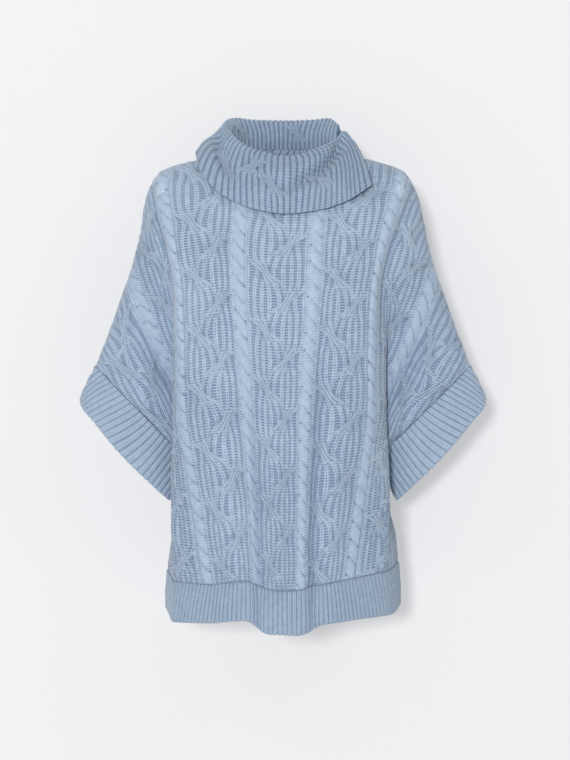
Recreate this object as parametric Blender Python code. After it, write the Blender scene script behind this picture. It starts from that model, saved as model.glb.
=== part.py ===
"""Knitted poncho sweater: wide cable-knit front and back, folded collar, ribbed hem and cuffs.

The garment keeps the hollow form that it has when worn. The origin is the middle of the
wearer's shoulders, -Y is the front and +X is the side of the collar's slit.

Cloth coordinates, in millimetres: `across` counts wales from the middle of a panel, and
`down` counts courses from the shoulder line. A wall is a raised outer face over a plain
inner one: cables stand on the front and back, ribs on the bands and the collar.
"""

import math
from collections import namedtuple

import bpy
import numpy as np

MILLIMETRE = 0.001
SHARP_ANGLE = math.radians(14.0)  # ribs and cables keep their edges

# ---------------------------------------------------------------- driving sizes, millimetres
WALL = 2.6  # knitted cloth under its cables
COLLAR_WALL = 3.5
SEAM_GAP = 0.3  # between neighbouring pieces
CUFF_GAP = 0.6  # a little more where the edges twist round the arm
CORNER_GAP = 0.9  # and over the shoulder seams
CORNER_REACH = 22.0
EDGE_FADE = 9.0  # relief dies out over this much cloth beside a seam

ARM_FOLD = 245.0  # wale deep in the fold under the arm, where the cables are pressed flat
ARM_FOLD_WIDTH = 36.0
ARM_FOLD_TOP = 250.0  # course where that fold begins

REPEAT = 110.0  # one braid and one rope
ROPE_HALF = 8.5
ROPE_HEIGHT = 4.6
ROPE_TWIST = 25.0  # course length of one twist of a rope
STRAND = 31.5  # a braid has three strands, three ribs each
STRAND_HEIGHT = 3.2
CROSSING_HEIGHT = 2.6
PLAIT_PERIOD = 85.0
PLAIT_START = 5.0
CROSSING_SHARE = 0.9  # of half a period, spent changing places

CUFF_TOP = 385.0  # wale where the cuff seam meets the top of the arm
UNDERARM = 330.0  # wale where it meets the side seam
UNDERARM_OUT = (0.2, 0.0, -0.98)  # the cloth turns down there, between cuff and body
CUFF_TOP_OUT = (0.8, 0.0, 0.6)
HEM_CORNER = 275.0  # wale where the side seam meets the hem
NECK_CORNER = 90.0  # wale where the neck meets the shoulder seam

RIB_HEIGHT = 2.0
HEM_RIBS = 52  # on each half of the hem
HEM_FLARE = 3.0
CUFF_RIBS = 42
CUFF_LEAN = 0.055  # of the ring, how far a cuff rib leans round it
CUFF_PLAIN = 0.06  # of the ring, where ribs die out at the underarm
CUFF_STRAIGHT = 0.15  # of the ring, where they stop leaning
COLLAR_RIBS = 60
COLLAR_ROLL = 8.0  # radius of the fold at the top of the collar

FRONT, BACK = -1, 1

# ---------------------------------------------------------------- tables, millimetres
# One wale of a panel's right half: first and last course, and the places (x, y, z) that it
# passes from its top edge down to its foot.
Wale = namedtuple("Wale", "across top foot places")
# A soft trough (or ridge, when depth is negative) along a line on the cloth.
Fold = namedtuple("Fold", "across_1 down_1 across_2 down_2 width depth")
# The hem's line along the front: how far the seam is lifted, and the band's height.
HemPlace = namedtuple("HemPlace", "across lift height")
# Sideways shift of the worn cloth, down its middle.
Sway = namedtuple("Sway", "down shift")
# The cuff's free edge, from the top of the arm round the front to the underarm.
CuffPlace = namedtuple("CuffPlace", "share x y z")
# The collar: fold and free edge beside a place of the neck seam.
CollarPlace = namedtuple("CollarPlace", "side across fold edge")

FRONT_WALES = (
    Wale(0, 32, 650, ((0, -70, -44), (0, -85, -67), (0, -98, -104), (0, -120, -200),
                      (0, -123, -279), (0, -125, -351), (0, -129, -524), (0, -132, -625))),
    Wale(55, 20, 650, ((55, -50, -24), (56, -75, -51), (57, -94, -104), (54, -117, -200),
                       (48, -120, -279), (43, -122, -351), (35, -127, -524), (32, -130, -623))),
    Wale(90, -18, 650, ((90, 0, 15), (88, -28, 2), (86, -55, -28), (88, -88, -104), (81, -113, -199),
                        (75, -117, -279), (71, -118, -351), (56, -124, -525), (52, -127, -621))),
    Wale(110, -13, 650, ((114, 0, 10), (113, -22, 4), (112, -50, -27), (110, -83, -103), (99, -108, -199),
                         (96, -110, -279), (93, -112, -351), (75, -120, -525), (66, -123, -620))),
    Wale(165, 18, 650, ((180, 0, -9), (179, -20, -17), (175, -43, -44), (158, -72, -111), (143, -83, -198),
                        (140, -85, -279), (139, -86, -352), (116, -102, -526), (103, -108, -617))),
    Wale(200, 52, 650, ((204, 0, -50), (201, -18, -57), (193, -38, -82), (172, -60, -140), (156, -56, -205),
                        (155, -55, -278), (155, -55, -352), (159, -66, -499), (156, -70, -613))),
    Wale(240, 92, 650, ((214, 0, -105), (212, -18, -114), (205, -34, -134), (186, -45, -189),
                        (165, -41, -248), (139, -25, -330), (127, -28, -397), (123, -31, -447),
                        (131, -36, -500), (150, -38, -560), (165, -38, -613))),
    Wale(275, 128, 650, ((228, 0, -158), (225, -16, -166), (218, -30, -186), (197, -38, -238),
                         (172, -35, -302), (159, -32, -330), (143, -28, -392), (135, -23, -447),
                         (139, -17, -500), (154, -11, -560), (172, 0, -618))),
    Wale(300, 155, 545, ((242, 0, -197), (239, -15, -206), (230, -30, -228), (206, -37, -275),
                         (180, -35, -330), (162, -32, -372), (149, -27, -410), (142, -20, -447),
                         (144, -11, -500), (152, 0, -545))),
    Wale(330, 184, 434, ((257, 0, -241), (255, -15, -249), (240, -29, -272), (213, -35, -315),
                         (188, -33, -360), (169, -29, -398), (157, -20, -429), (149, 0, -449))),
    Wale(345, 199, 381, ((263, 0, -257), (261, -15, -265), (250, -27, -286), (224, -33, -332),
                         (200, -30, -374), (182, -24, -406))),
    Wale(365, 219, 308, ((272, 0, -279), (270, -13, -285), (260, -24, -303), (236, -28, -348))),
    Wale(385, 238, 244, ((280, 0, -301), (279, -3, -302), (278, -6, -303))),
)

BACK_WALES = (
    Wale(0, -5, 650, ((0, 60, 29), (0, 78, 6), (0, 92, -45), (0, 100, -137), (0, 102, -276),
                      (0, 106, -431), (0, 115, -617))),
    Wale(55, -8, 650, ((56, 45, 30), (58, 68, 10), (59, 88, -45), (57, 97, -137), (53, 99, -276),
                       (46, 103, -431), (39, 113, -617))),
    Wale(90, -18, 650, ((90, 0, 15), (91, 26, 10), (91, 50, -7), (89, 74, -46), (86, 92, -137),
                        (80, 96, -276), (74, 99, -431), (62, 110, -616))),
    Wale(110, -13, 650, ((114, 0, 10), (115, 20, 8), (114, 44, -9), (113, 68, -47), (108, 88, -138),
                         (102, 92, -276), (96, 96, -431), (77, 107, -616))),
    Wale(165, 18, 650, ((180, 0, -9), (181, 18, -13), (179, 40, -34), (165, 62, -96), (152, 73, -192),
                        (149, 75, -276), (146, 82, -430), (117, 96, -615))),
    Wale(200, 52, 650, ((204, 0, -50), (203, 16, -54), (197, 34, -74), (180, 52, -127), (163, 52, -201),
                        (158, 50, -277), (157, 50, -383), (159, 58, -506), (159, 66, -615))),
    Wale(240, 92, 650, ((214, 0, -105), (214, 16, -111), (209, 31, -129), (193, 40, -186),
                        (170, 38, -247), (142, 25, -330), (130, 28, -397), (125, 31, -447),
                        (132, 36, -500), (151, 38, -560), (166, 38, -616))),
    Wale(275, 128, 650, ((228, 0, -158), (227, 14, -164), (222, 27, -182), (203, 34, -236),
                         (176, 33, -301), (162, 31, -330), (146, 27, -392), (137, 22, -447),
                         (140, 16, -500), (154, 11, -560), (172, 0, -618))),
    Wale(300, 155, 545, ((242, 0, -197), (240, 13, -204), (233, 26, -226), (210, 33, -274),
                         (183, 33, -330), (164, 31, -372), (151, 26, -410), (143, 19, -447),
                         (145, 11, -500), (152, 0, -545))),
    Wale(330, 184, 434, ((257, 0, -241), (256, 13, -247), (243, 26, -270), (217, 31, -315),
                         (192, 31, -360), (171, 28, -398), (158, 19, -429), (149, 0, -449))),
    Wale(345, 199, 381, ((263, 0, -257), (262, 13, -263), (252, 24, -285), (227, 29, -331),
                         (203, 27, -373), (185, 23, -406))),
    Wale(365, 219, 308, ((272, 0, -279), (271, 12, -284), (262, 22, -302), (239, 26, -347))),
    Wale(385, 238, 244, ((280, 0, -301), (279, 3, -302), (278, 6, -303))),
)

FRONT_FOLDS = (
    Fold(-46, 400, -50, 760, 15, 7),  # beside the left rope, into the hem
    Fold(78, 320, 86, 760, 17, 8),  # beside the right rope, into the hem
    Fold(-118, 380, -122, 760, 34, -6),
    Fold(128, 380, 134, 760, 30, -5),
    Fold(-182, 95, -172, 205, 13, 6),  # where the arm lifts the cloth off the chest
    Fold(186, 90, 176, 190, 14, 5),
    Fold(-300, 250, -262, 400, 16, 5),
    Fold(304, 240, 266, 390, 16, 5),
)
BACK_FOLDS = (
    Fold(-70, 300, -76, 760, 19, 7),
    Fold(62, 340, 70, 760, 18, 7),
    Fold(0, 380, -4, 760, 34, -6),
    Fold(-184, 95, -174, 210, 14, 5),
    Fold(184, 95, 174, 200, 14, 5),
    Fold(-302, 250, -264, 395, 16, 5),
    Fold(300, 245, 264, 390, 16, 5),
)

FRONT_HEM = (
    HemPlace(-385, 0, 55), HemPlace(-330, 6, 55), HemPlace(-275, 9, 55), HemPlace(-240, 0, 58),
    HemPlace(-200, -5, 59), HemPlace(-165, -2, 56), HemPlace(-110, 6, 56), HemPlace(-80, 9, 57),
    HemPlace(-50, 4, 62), HemPlace(-25, 0, 64), HemPlace(0, -1, 63), HemPlace(50, -2, 65),
    HemPlace(80, 1, 64), HemPlace(110, 3, 58), HemPlace(165, 6, 60), HemPlace(200, 10, 64),
    HemPlace(240, 16, 67), HemPlace(275, 23, 65), HemPlace(330, 10, 65), HemPlace(385, 0, 65),
)
BACK_HEM = (
    HemPlace(-385, 0, 55), HemPlace(-330, 6, 55), HemPlace(-275, 12, 55), HemPlace(-200, 8, 58),
    HemPlace(-76, 9, 58), HemPlace(0, 0, 60), HemPlace(70, 9, 59), HemPlace(200, 14, 62),
    HemPlace(275, 23, 65), HemPlace(330, 10, 65), HemPlace(385, 0, 65),
)

SWAYS = (Sway(0, 0), Sway(60, -3), Sway(110, -6), Sway(160, -9), Sway(300, -10), Sway(500, -8),
         Sway(760, -5))
SWAY_FULL, SWAY_NONE = 165.0, 235.0

CUFF_EDGE = (
    CuffPlace(0.00, 304, 0, -351), CuffPlace(0.06, 303, -11, -356), CuffPlace(0.16, 298, -21, -366),
    CuffPlace(0.29, 282, -27, -384), CuffPlace(0.43, 262, -29, -409), CuffPlace(0.57, 235, -26, -440),
    CuffPlace(0.70, 209, -23, -466), CuffPlace(0.85, 186, -17, -488), CuffPlace(0.94, 174, -9, -499),
    CuffPlace(1.00, 170, 0, -503),
)

# From the free end over the slit, round the front, the left side and the back.
COLLAR_PLACES = (
    CollarPlace(FRONT, 84, (93, 2, 51), (131, -70, -34)),
    CollarPlace(FRONT, 74, (87, -14, 43), (111, -81, -48)),
    CollarPlace(FRONT, 55, (73, -33, 31), (90, -85, -61)),
    CollarPlace(FRONT, 30, (44, -55, 12), (48, -98, -75)),
    CollarPlace(FRONT, 0, (4, -63, 6), (4, -104, -80)),
    CollarPlace(FRONT, -30, (-37, -58, 15), (-42, -99, -73)),
    CollarPlace(FRONT, -58, (-67, -38, 32), (-88, -82, -51)),
    CollarPlace(FRONT, -76, (-81, -18, 47), (-121, -65, -14)),
    CollarPlace(FRONT, -90, (-86, 0, 57), (-131, 0, 18)),
    CollarPlace(BACK, -76, (-83, 22, 69), (-127, 41, 6)),
    CollarPlace(BACK, -56, (-67, 42, 74), (-101, 68, -5)),
    CollarPlace(BACK, -30, (-38, 57, 73), (-53, 90, -10)),
    CollarPlace(BACK, 0, (0, 62, 73), (0, 96, -12)),
    CollarPlace(BACK, 30, (38, 57, 73), (53, 90, -9)),
    CollarPlace(BACK, 56, (67, 42, 74), (98, 68, -2)),
    CollarPlace(BACK, 84, (84, 14, 61), (118, 26, 22)),
)
# Height up and over the collar at the seam, mid stand, before, on and after the fold,
# mid flap and free edge.
COLLAR_COURSES = (0.0, 23.0, 44.0, 54.0, 64.0, 104.0, 145.0)
COLLAR_FOLDS = (
    Fold(72, 66, 112, 98, 9, 6),  # fold coordinates: along the collar's fold, and up and over
    Fold(246, 68, 212, 112, 9, 5),
)

# ---------------------------------------------------------------- mesh steps
PLAIT_STEPS = {FRONT: 6, BACK: 4}  # courses of mesh to a plait period
CREASE_STEPS = 6  # the same near the cuffs, on both faces
NEAR_CUFF = 290.0  # wale past which they count
CUFF_WALES = (334.0, 338.0, 341.75, 353.5, 369.0, 379.0)  # more of them along the cuff seam
ROPE_STEP = ROPE_TWIST / 2
GUTTER_COURSE = {FRONT: 28.3, BACK: 21.25}
LINING_COURSE = 42.5
ARM_CREASE = 225.0  # wale past which the lining needs closer courses
CUFF_LINING = 84
COLLAR_LINING = 60  # columns, one to each rib
NECK_STEP = 4.0

COLOURS = {
    "front": (0.352, 0.462, 0.597),
    "back": (0.330, 0.440, 0.575),
    "collar": (0.290, 0.392, 0.520),
    "hem_front": (0.300, 0.400, 0.530),
    "hem_back": (0.290, 0.390, 0.520),
    "cuff_left": (0.310, 0.415, 0.545),
    "cuff_right": (0.310, 0.415, 0.545),
}
WOOL_ROUGHNESS = 0.92

Panel = namedtuple("Panel", "side wales folds hem")
FRONT_PANEL = Panel(FRONT, FRONT_WALES, FRONT_FOLDS, FRONT_HEM)
BACK_PANEL = Panel(BACK, BACK_WALES, BACK_FOLDS, BACK_HEM)
PANELS = {FRONT: FRONT_PANEL, BACK: BACK_PANEL}

Column = namedtuple("Column", "key rows points")


# ---------------------------------------------------------------- curves through tables
def smooth(share):
    """A soft step from 0 to 1 as share goes from 0 to 1."""
    share = np.clip(share, 0.0, 1.0)
    return share * share * (3.0 - 2.0 * share)


def unit(vectors):
    """The vectors at length one."""
    return vectors / np.maximum(np.linalg.norm(vectors, axis=-1, keepdims=True), 1e-9)


def through(knots, values, at):
    """A curve that never overshoots, through values at knots, read at each place in `at`.

    values has one row a knot, and then either one value for all places or one for each.
    """
    knots = np.asarray(knots, float)
    at = np.asarray(at, float)
    values = np.asarray(values, float)
    gaps = np.diff(knots).reshape((-1,) + (1,) * (values.ndim - 1))
    slopes = np.diff(values, axis=0) / gaps
    level = slopes[:-1] * slopes[1:]
    mean = level / np.where(level > 0, slopes[:-1] + slopes[1:], 1.0) * 2.0
    inner = np.where(level > 0, mean, 0.0)
    tangents = np.concatenate([slopes[:1], inner, slopes[-1:]])
    cell = np.clip(np.searchsorted(knots, at, side="right") - 1, 0, len(knots) - 2)
    shape = at.shape + ((1,) if values.ndim > 1 else ())
    step = (knots[cell + 1] - knots[cell]).reshape(shape)
    part = (at - knots[cell]).reshape(shape) / step
    own = (np.arange(len(at)),) if values.ndim == 3 else ()
    start, end = values[(cell, *own)], values[(cell + 1, *own)]
    leave, arrive = tangents[(cell, *own)] * step, tangents[(cell + 1, *own)] * step
    return (start * (1 + 2 * part) * (1 - part) ** 2 + leave * part * (1 - part) ** 2
            + end * part ** 2 * (3 - 2 * part) - arrive * part ** 2 * (1 - part))


def column_of(table, name):
    """One named column of a table, as an array."""
    return np.array([getattr(row, name) for row in table], float)


def along_places(places, share):
    """Points at shares of the way along a chain of places."""
    places = np.array(places, float)
    reach = np.concatenate([[0.0], np.cumsum(np.linalg.norm(np.diff(places, axis=0), axis=1))])
    spread = np.repeat(places[:, None, :], len(share), axis=1)
    return through(reach / reach[-1], spread, share)


# ---------------------------------------------------------------- the worn cloth of a panel
def top_course(panel, across):
    """First course of the panel at each wale."""
    return through(column_of(panel.wales, "across"), column_of(panel.wales, "top"), np.abs(across))


def foot_course(panel, across):
    """Last course of the panel at each wale."""
    return through(column_of(panel.wales, "across"), column_of(panel.wales, "foot"), np.abs(across))


def fold_depth(folds, across, down):
    """How far the folds press the cloth in: a soft bell over each line, fading at its ends."""
    depth = np.zeros_like(across)
    for fold in folds:
        run = np.array([fold.across_2 - fold.across_1, fold.down_2 - fold.down_1], float)
        length = np.linalg.norm(run)
        run /= length
        lead = (across - fold.across_1) * run[0] + (down - fold.down_1) * run[1]
        beside = (across - fold.across_1) * run[1] - (down - fold.down_1) * run[0]
        ends = smooth(0.5 + lead / (0.5 * length)) * smooth(0.5 + (length - lead) / (0.5 * length))
        depth += fold.depth * ends * np.exp(-((beside / fold.width) ** 2))
    return depth


def cloth(panel, across, down):
    """Places of the panel's outer face, before cables."""
    across, down = np.broadcast_arrays(np.asarray(across, float), np.asarray(down, float))
    top, foot = top_course(panel, across), foot_course(panel, across)
    share = (down - top) / (foot - top)
    knots = column_of(panel.wales, "across")
    rows = np.array([along_places(wale.places, share) for wale in panel.wales])
    mirrored = np.concatenate([rows[:0:-1] * (-1, 1, 1), rows])
    knots = np.concatenate([-knots[:0:-1], knots])
    places = through(knots, mirrored, across)
    hold = 1.0 - smooth((np.abs(across) - SWAY_FULL) / (SWAY_NONE - SWAY_FULL))
    places[:, 0] += hold * through(column_of(SWAYS, "down"), column_of(SWAYS, "shift"), down)
    lift = through(column_of(panel.hem, "across"), column_of(panel.hem, "lift"), across)
    places[:, 2] += lift * np.clip(share, 0.0, 1.2) ** 3
    places[:, 1] -= panel.side * fold_depth(panel.folds, across, down)
    return places


def on_seam(panel, across, down):
    """Where the cloth's edge lies in the plane between front and back."""
    across, down = np.broadcast_arrays(np.asarray(across, float), np.asarray(down, float))
    shoulder = (down <= top_course(panel, across) + 0.01) & (np.abs(across) >= NECK_CORNER - 0.01)
    side = down >= foot_course(panel, across) - 0.01
    side &= (np.abs(across) >= HEM_CORNER - 0.01) & (np.abs(across) <= UNDERARM + 0.01)
    return shoulder | side


def cuff_seam_out(panel, across):
    """Outward directions along the cuff seam: up and out on top of the arm, then to the
    panel's side, and down between cuff and body at the underarm."""
    share = (CUFF_TOP - np.abs(across)) / (CUFF_TOP - UNDERARM)
    top, under = 1.0 - smooth(share / 0.3), smooth((share - 0.55) / 0.45)
    out = sum(np.outer(weight, direction) for weight, direction in
              ((top, CUFF_TOP_OUT), (1.0 - top - under, (0, panel.side, 0)), (under, UNDERARM_OUT)))
    return unit(out * np.where(across[:, None] < 0, (-1, 1, 1), (1, 1, 1)))


def cloth_frame(panel, across, down):
    """Places, outward directions and down-the-wale directions of the panel's outer face."""
    across, down = np.broadcast_arrays(np.asarray(across, float), np.asarray(down, float))
    step = 1.0
    along = cloth(panel, across + step, down) - cloth(panel, across - step, down)
    below = cloth(panel, across, down + step) - cloth(panel, across, down - step)
    outward = unit(np.cross(below, along) * -panel.side)
    flat = on_seam(panel, across, down)
    outward[flat, 1] = 0.0
    joins_cuff = (down >= foot_course(panel, across) - 0.01) & (np.abs(across) >= UNDERARM - 0.01)
    joins_cuff |= np.abs(across) >= CUFF_TOP - 0.01
    outward[joins_cuff] = cuff_seam_out(panel, across)[joins_cuff]
    return cloth(panel, across, down), unit(outward), unit(below)


def edge_frame(panel, wales, courses, keys, at):
    """The frame of an edge between its mesh points, for the piece that is joined to it.

    wales and courses are those of the edge's mesh points, and keys number them.
    """
    fields = cloth_frame(panel, wales, courses)
    return [np.stack([np.interp(at, keys, field[:, axis]) for axis in range(3)], axis=1)
            for field in fields]


# ---------------------------------------------------------------- cables
def crown(offset):
    """A round ridge: 1 in the middle, 0 at offset 1."""
    return np.sqrt(np.clip(1.0 - offset * offset, 0.0, 1.0))


def braid_height(across, down):
    """Three strands plaited in turn: the left pair changes places, then the right pair.

    A strand goes from the left slot to the right one and back in six half periods. It
    passes over where it leaves a side and under where it comes to one.
    """
    beat = (down - PLAIT_START) / (PLAIT_PERIOD / 2)
    height = np.zeros_like(across)
    for strand in range(3):
        turn = np.mod(beat + 2 * strand + 1.0, 6.0) - 1.0
        slot = sum(sign * smooth(0.5 + (turn - event) / CROSSING_SHARE)
                   for event, sign in ((0, 1), (1, 1), (3, -1), (4, -1)))
        over = sum(np.clip(1 - abs(turn - event) / 0.6, 0, 1) for event in (0, 3))
        under = sum(np.clip(1 - abs(turn - event) / 0.6, 0, 1) for event in (1, 4))
        offset = (across - (slot - 1.0) * STRAND) / (STRAND / 2)
        raised = STRAND_HEIGHT + CROSSING_HEIGHT * over - 0.6 * STRAND_HEIGHT * under
        height = np.maximum(height, raised * crown(offset))
    return height


def rope_height(across, down):
    """A two-strand rope, lumpy along its crown."""
    lumps = 0.8 + 0.2 * np.cos(2 * np.pi * (down + across) / ROPE_TWIST)
    return ROPE_HEIGHT * lumps * crown(across / ROPE_HALF)


def cable_height(panel, across, down):
    """Height of the cables over the panel's outer face, none at its edges."""
    across, down = np.broadcast_arrays(np.asarray(across, float), np.asarray(down, float))
    from_braid = np.mod(across + REPEAT / 2, REPEAT) - REPEAT / 2
    from_rope = np.mod(across, REPEAT) - REPEAT / 2
    height = np.where(np.abs(from_rope) < ROPE_HALF + 0.01, rope_height(from_rope, down),
                      braid_height(from_braid, down))
    inside = np.minimum(down - top_course(panel, across), foot_course(panel, across) - down)
    in_fold = np.exp(-(((np.abs(across) - ARM_FOLD) / ARM_FOLD_WIDTH) ** 2))
    pressed = in_fold * smooth((down - ARM_FOLD_TOP) / 60.0)
    return height * smooth(inside / EDGE_FADE) * (1.0 - pressed)


# ---------------------------------------------------------------- walls
def zipped(left, left_keys, right, right_keys):
    """Triangles between two chains of points, taken in the order of their keys."""
    faces = []
    i = j = 0
    while i < len(left) - 1 or j < len(right) - 1:
        left_next = left_keys[i] + left_keys[i + 1] if i < len(left) - 1 else np.inf
        right_next = right_keys[j] + right_keys[j + 1] if j < len(right) - 1 else np.inf
        if left_next <= right_next:
            faces.append((left[i], left[i + 1], right[j]))
            i += 1
        else:
            faces.append((left[i], right[j + 1], right[j]))
            j += 1
    return faces


def wall_mesh(name, outer, lining, closed=False, turned=False):
    """A closed wall between a raised outer face and a plain lining, as a mesh.

    Each face is a list of columns, and neighbours are zipped together although they have
    rows of their own. The rims are zipped too. A closed wall runs round in a ring.
    """
    points, indices = [], []
    for face in (outer, lining):
        ids = []
        for column in face:
            ids.append(list(range(len(points), len(points) + len(column.rows))))
            points.extend(column.points)
        indices.append(ids)
    faces = []
    for face, ids, inward in ((outer, indices[0], False), (lining, indices[1], True)):
        pairs = list(zip(range(len(face) - 1), range(1, len(face))))
        if closed:
            pairs.append((len(face) - 1, 0))
        for a, b in pairs:
            strip = zipped(ids[a], face[a].rows, ids[b], face[b].rows)
            faces += [f[::-1] for f in strip] if inward else strip
    for end, outer_first in ((0, True), (-1, False)):
        chains = [[column[end] for column in ids] for ids in indices]
        keys = [[column.key for column in face] for face in (outer, lining)]
        if closed:
            chains = [chain + chain[:1] for chain in chains]
            keys = [key + [key[0] + 1.0] for key in keys]
        order = (0, 1) if outer_first else (1, 0)
        faces += zipped(chains[order[0]], keys[order[0]], chains[order[1]], keys[order[1]])
    if not closed:
        for end, order in ((0, (1, 0)), (-1, (0, 1))):
            chains = [ids[end] for ids in indices]
            keys = [face[end].rows for face in (outer, lining)]
            faces += zipped(chains[order[0]], keys[order[0]], chains[order[1]], keys[order[1]])
    if turned:
        faces = [face[::-1] for face in faces]
    mesh = bpy.data.meshes.new(name)
    mesh.from_pydata((np.array(points) * MILLIMETRE).tolist(), [], faces)
    mesh.validate()
    mesh.shade_smooth()
    mesh.set_sharp_from_angle(angle=SHARP_ANGLE)
    return mesh


def parted(panel, points):
    """The points, kept half a seam gap clear of the plane between front and back."""
    points[:, 1] = panel.side * np.maximum(panel.side * points[:, 1], SEAM_GAP / 2)
    return points


# ---------------------------------------------------------------- front and back
def cable_wales():
    """Wales of the mesh: crowns and gutters of every rope and strand, and the seams' ends."""
    wales = {side * wale: "strand" for side in (-1, 1) for wale in (NECK_CORNER, CUFF_TOP) + CUFF_WALES}
    for repeat in range(-4, 5):
        for offset in (-STRAND, -STRAND / 2, 0.0, STRAND / 2, STRAND):
            wales[repeat * REPEAT + offset] = "strand"
        for offset in (-ROPE_HALF, 0.0, ROPE_HALF):
            wales[(repeat + 0.5) * REPEAT + offset] = "gutter" if offset else "rope"
    return sorted((wale, kind) for wale, kind in wales.items() if abs(wale) <= CUFF_TOP)


def mesh_wales(reach):
    """Wales of the mesh, out to `reach` on both sides."""
    return np.array([wale for wale, _ in cable_wales() if abs(wale) <= reach + 0.01])


def courses_between(top, foot, step, start):
    """Courses from top to foot at whole steps, with room left beside both ends."""
    whole = np.arange(np.ceil((top - start) / step), np.floor((foot - start) / step) + 1) * step + start
    whole = whole[(whole > top + 0.45 * step) & (whole < foot - 0.45 * step)]
    return np.concatenate([[top], whole, [foot]])


def panel_mesh(name, panel):
    """The front or the back: cables on its outer face, plain inside."""
    def courses(wale, step):
        ends = [course(panel, [wale])[0] for course in (top_course, foot_course)]
        return courses_between(*ends, step, PLAIT_START)

    plait_step = PLAIT_PERIOD / PLAIT_STEPS[panel.side]
    crease_step = PLAIT_PERIOD / CREASE_STEPS
    steps = {"rope": ROPE_STEP, "gutter": GUTTER_COURSE[panel.side], "strand": plait_step}
    outer = []
    for wale, kind in cable_wales():
        rows = courses(wale, steps[kind] if abs(wale) < NEAR_CUFF else crease_step)
        places, outward, _ = cloth_frame(panel, wale, rows)
        height = cable_height(panel, wale, rows)[:, None]
        outer.append(Column(wale, rows, parted(panel, places + outward * height)))
    lining = []
    for wale in mesh_wales(CUFF_TOP):
        step = LINING_COURSE if abs(wale) < ARM_CREASE else plait_step
        rows = courses(wale, step if abs(wale) < NEAR_CUFF else crease_step)
        places, outward, _ = cloth_frame(panel, wale, rows)
        lining.append(Column(wale, rows, parted(panel, places - outward * WALL)))
    return wall_mesh(name, outer, lining, turned=panel.side == BACK)


# ---------------------------------------------------------------- hem
def hem_mesh(name, panel):
    """Half of the ribbed hem, joined under a panel's foot."""
    joined = mesh_wales(HEM_CORNER)

    def columns(wales, raise_ribs):
        places, outward, below = edge_frame(panel, joined, foot_course(panel, joined), joined, wales)
        heights = through(column_of(panel.hem, "across"), column_of(panel.hem, "height"), wales)
        level = outward * (1, 1, 0)
        level[[0, -1]] = level[[0, -1]] * (1, 0, 0)
        level = unit(level)
        drop = unit(below * (0, 0, 1))
        ribs = RIB_HEIGHT * (np.arange(len(wales)) % 2) if raise_ribs else np.full(len(wales), -WALL)
        ribs = ribs[:, None]
        seam = places + (level if raise_ribs else outward) * ribs + drop * SEAM_GAP
        edge = places + drop * heights[:, None] + level * (HEM_FLARE + ribs)
        return [Column(wale, (0.0, 1.0), parted(panel, np.array(rows)))
                for wale, *rows in zip(wales, seam, edge)]

    ribbed = np.linspace(-HEM_CORNER, HEM_CORNER, 2 * HEM_RIBS + 1)
    return wall_mesh(name, columns(ribbed, True), columns(joined, False), turned=panel.side == BACK)


# ---------------------------------------------------------------- cuffs
def cuff_seam(arm, turn):
    """The cuff seam and the panels' outward directions at shares round the ring.

    The ring starts on top of the arm, runs down the front and comes up the back. Each mesh
    point of the panels' edge falls on a rib's crown or gutter, so that the edges fit.
    """
    turn = np.mod(turn, 1.0)
    places, outward = np.zeros((len(turn), 3)), np.zeros((len(turn), 3))
    wales = mesh_wales(CUFF_TOP)
    wales = np.append(CUFF_TOP, wales[wales >= UNDERARM - 0.01][::-1]) * arm
    for side, share in ((FRONT, 2 * turn), (BACK, 2 - 2 * turn)):
        here = (turn < 0.5) if side == FRONT else (turn >= 0.5)
        panel = PANELS[side]
        courses = foot_course(panel, wales)
        courses[0] = top_course(panel, wales[:1])[0]
        chain = cloth(panel, wales, courses)
        reach = np.append(0.0, np.cumsum(np.linalg.norm(np.diff(chain, axis=0), axis=1)))
        keys = np.round(reach / reach[-1] * CUFF_RIBS) / CUFF_RIBS
        where, out, _ = edge_frame(panel, wales, courses, keys, np.clip(share, 0, 1))
        places[here], outward[here] = where[here], out[here]
    return places, outward


def cuff_edge(arm, turn):
    """The cuff's free edge at shares round the ring."""
    turn = np.mod(turn, 1.0)
    share = np.where(turn < 0.5, 2 * turn, 2 - 2 * turn)
    table = np.array([column_of(CUFF_EDGE, name) for name in "xyz"]).T
    places = through(column_of(CUFF_EDGE, "share"), table, share)
    places[:, 0] *= arm
    places[turn >= 0.5, 1] *= -1
    return places


def cuff_mesh(name, arm):
    """A ribbed cuff, joined round the wing's edge."""
    def columns(count, raise_ribs):
        turns = np.arange(count) / count
        ribs = np.full((count, 1), -WALL)
        if raise_ribs:
            ribs[:, 0] = RIB_HEIGHT * (np.arange(count) % 2) * smooth(np.abs(turns - 0.5) / CUFF_PLAIN)
        seam, outward = cuff_seam(arm, turns)
        around = cuff_seam(arm, turns + 1 / count)[0] - cuff_seam(arm, turns - 1 / count)[0]
        leave = unit(np.cross(around, outward))
        leave *= np.sign(np.sum(leave * (cuff_edge(arm, turns) - seam), axis=1))[:, None]
        seam = seam + outward * ribs + leave * CUFF_GAP
        leant = turns + CUFF_LEAN * smooth(np.abs(turns - 0.5) / CUFF_STRAIGHT)
        edge = cuff_edge(arm, leant)
        around = cuff_edge(arm, leant + 1 / count) - cuff_edge(arm, leant - 1 / count)
        outward = unit(np.cross(around, edge - cuff_seam(arm, leant)[0])) * arm
        edge = edge + outward * ribs
        return [Column(turn, (0.0, 1.0), np.array(rows)) for turn, *rows in zip(turns, seam, edge)]

    return wall_mesh(name, columns(2 * CUFF_RIBS, True), columns(CUFF_LINING, False),
                     closed=True, turned=arm > 0)


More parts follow.
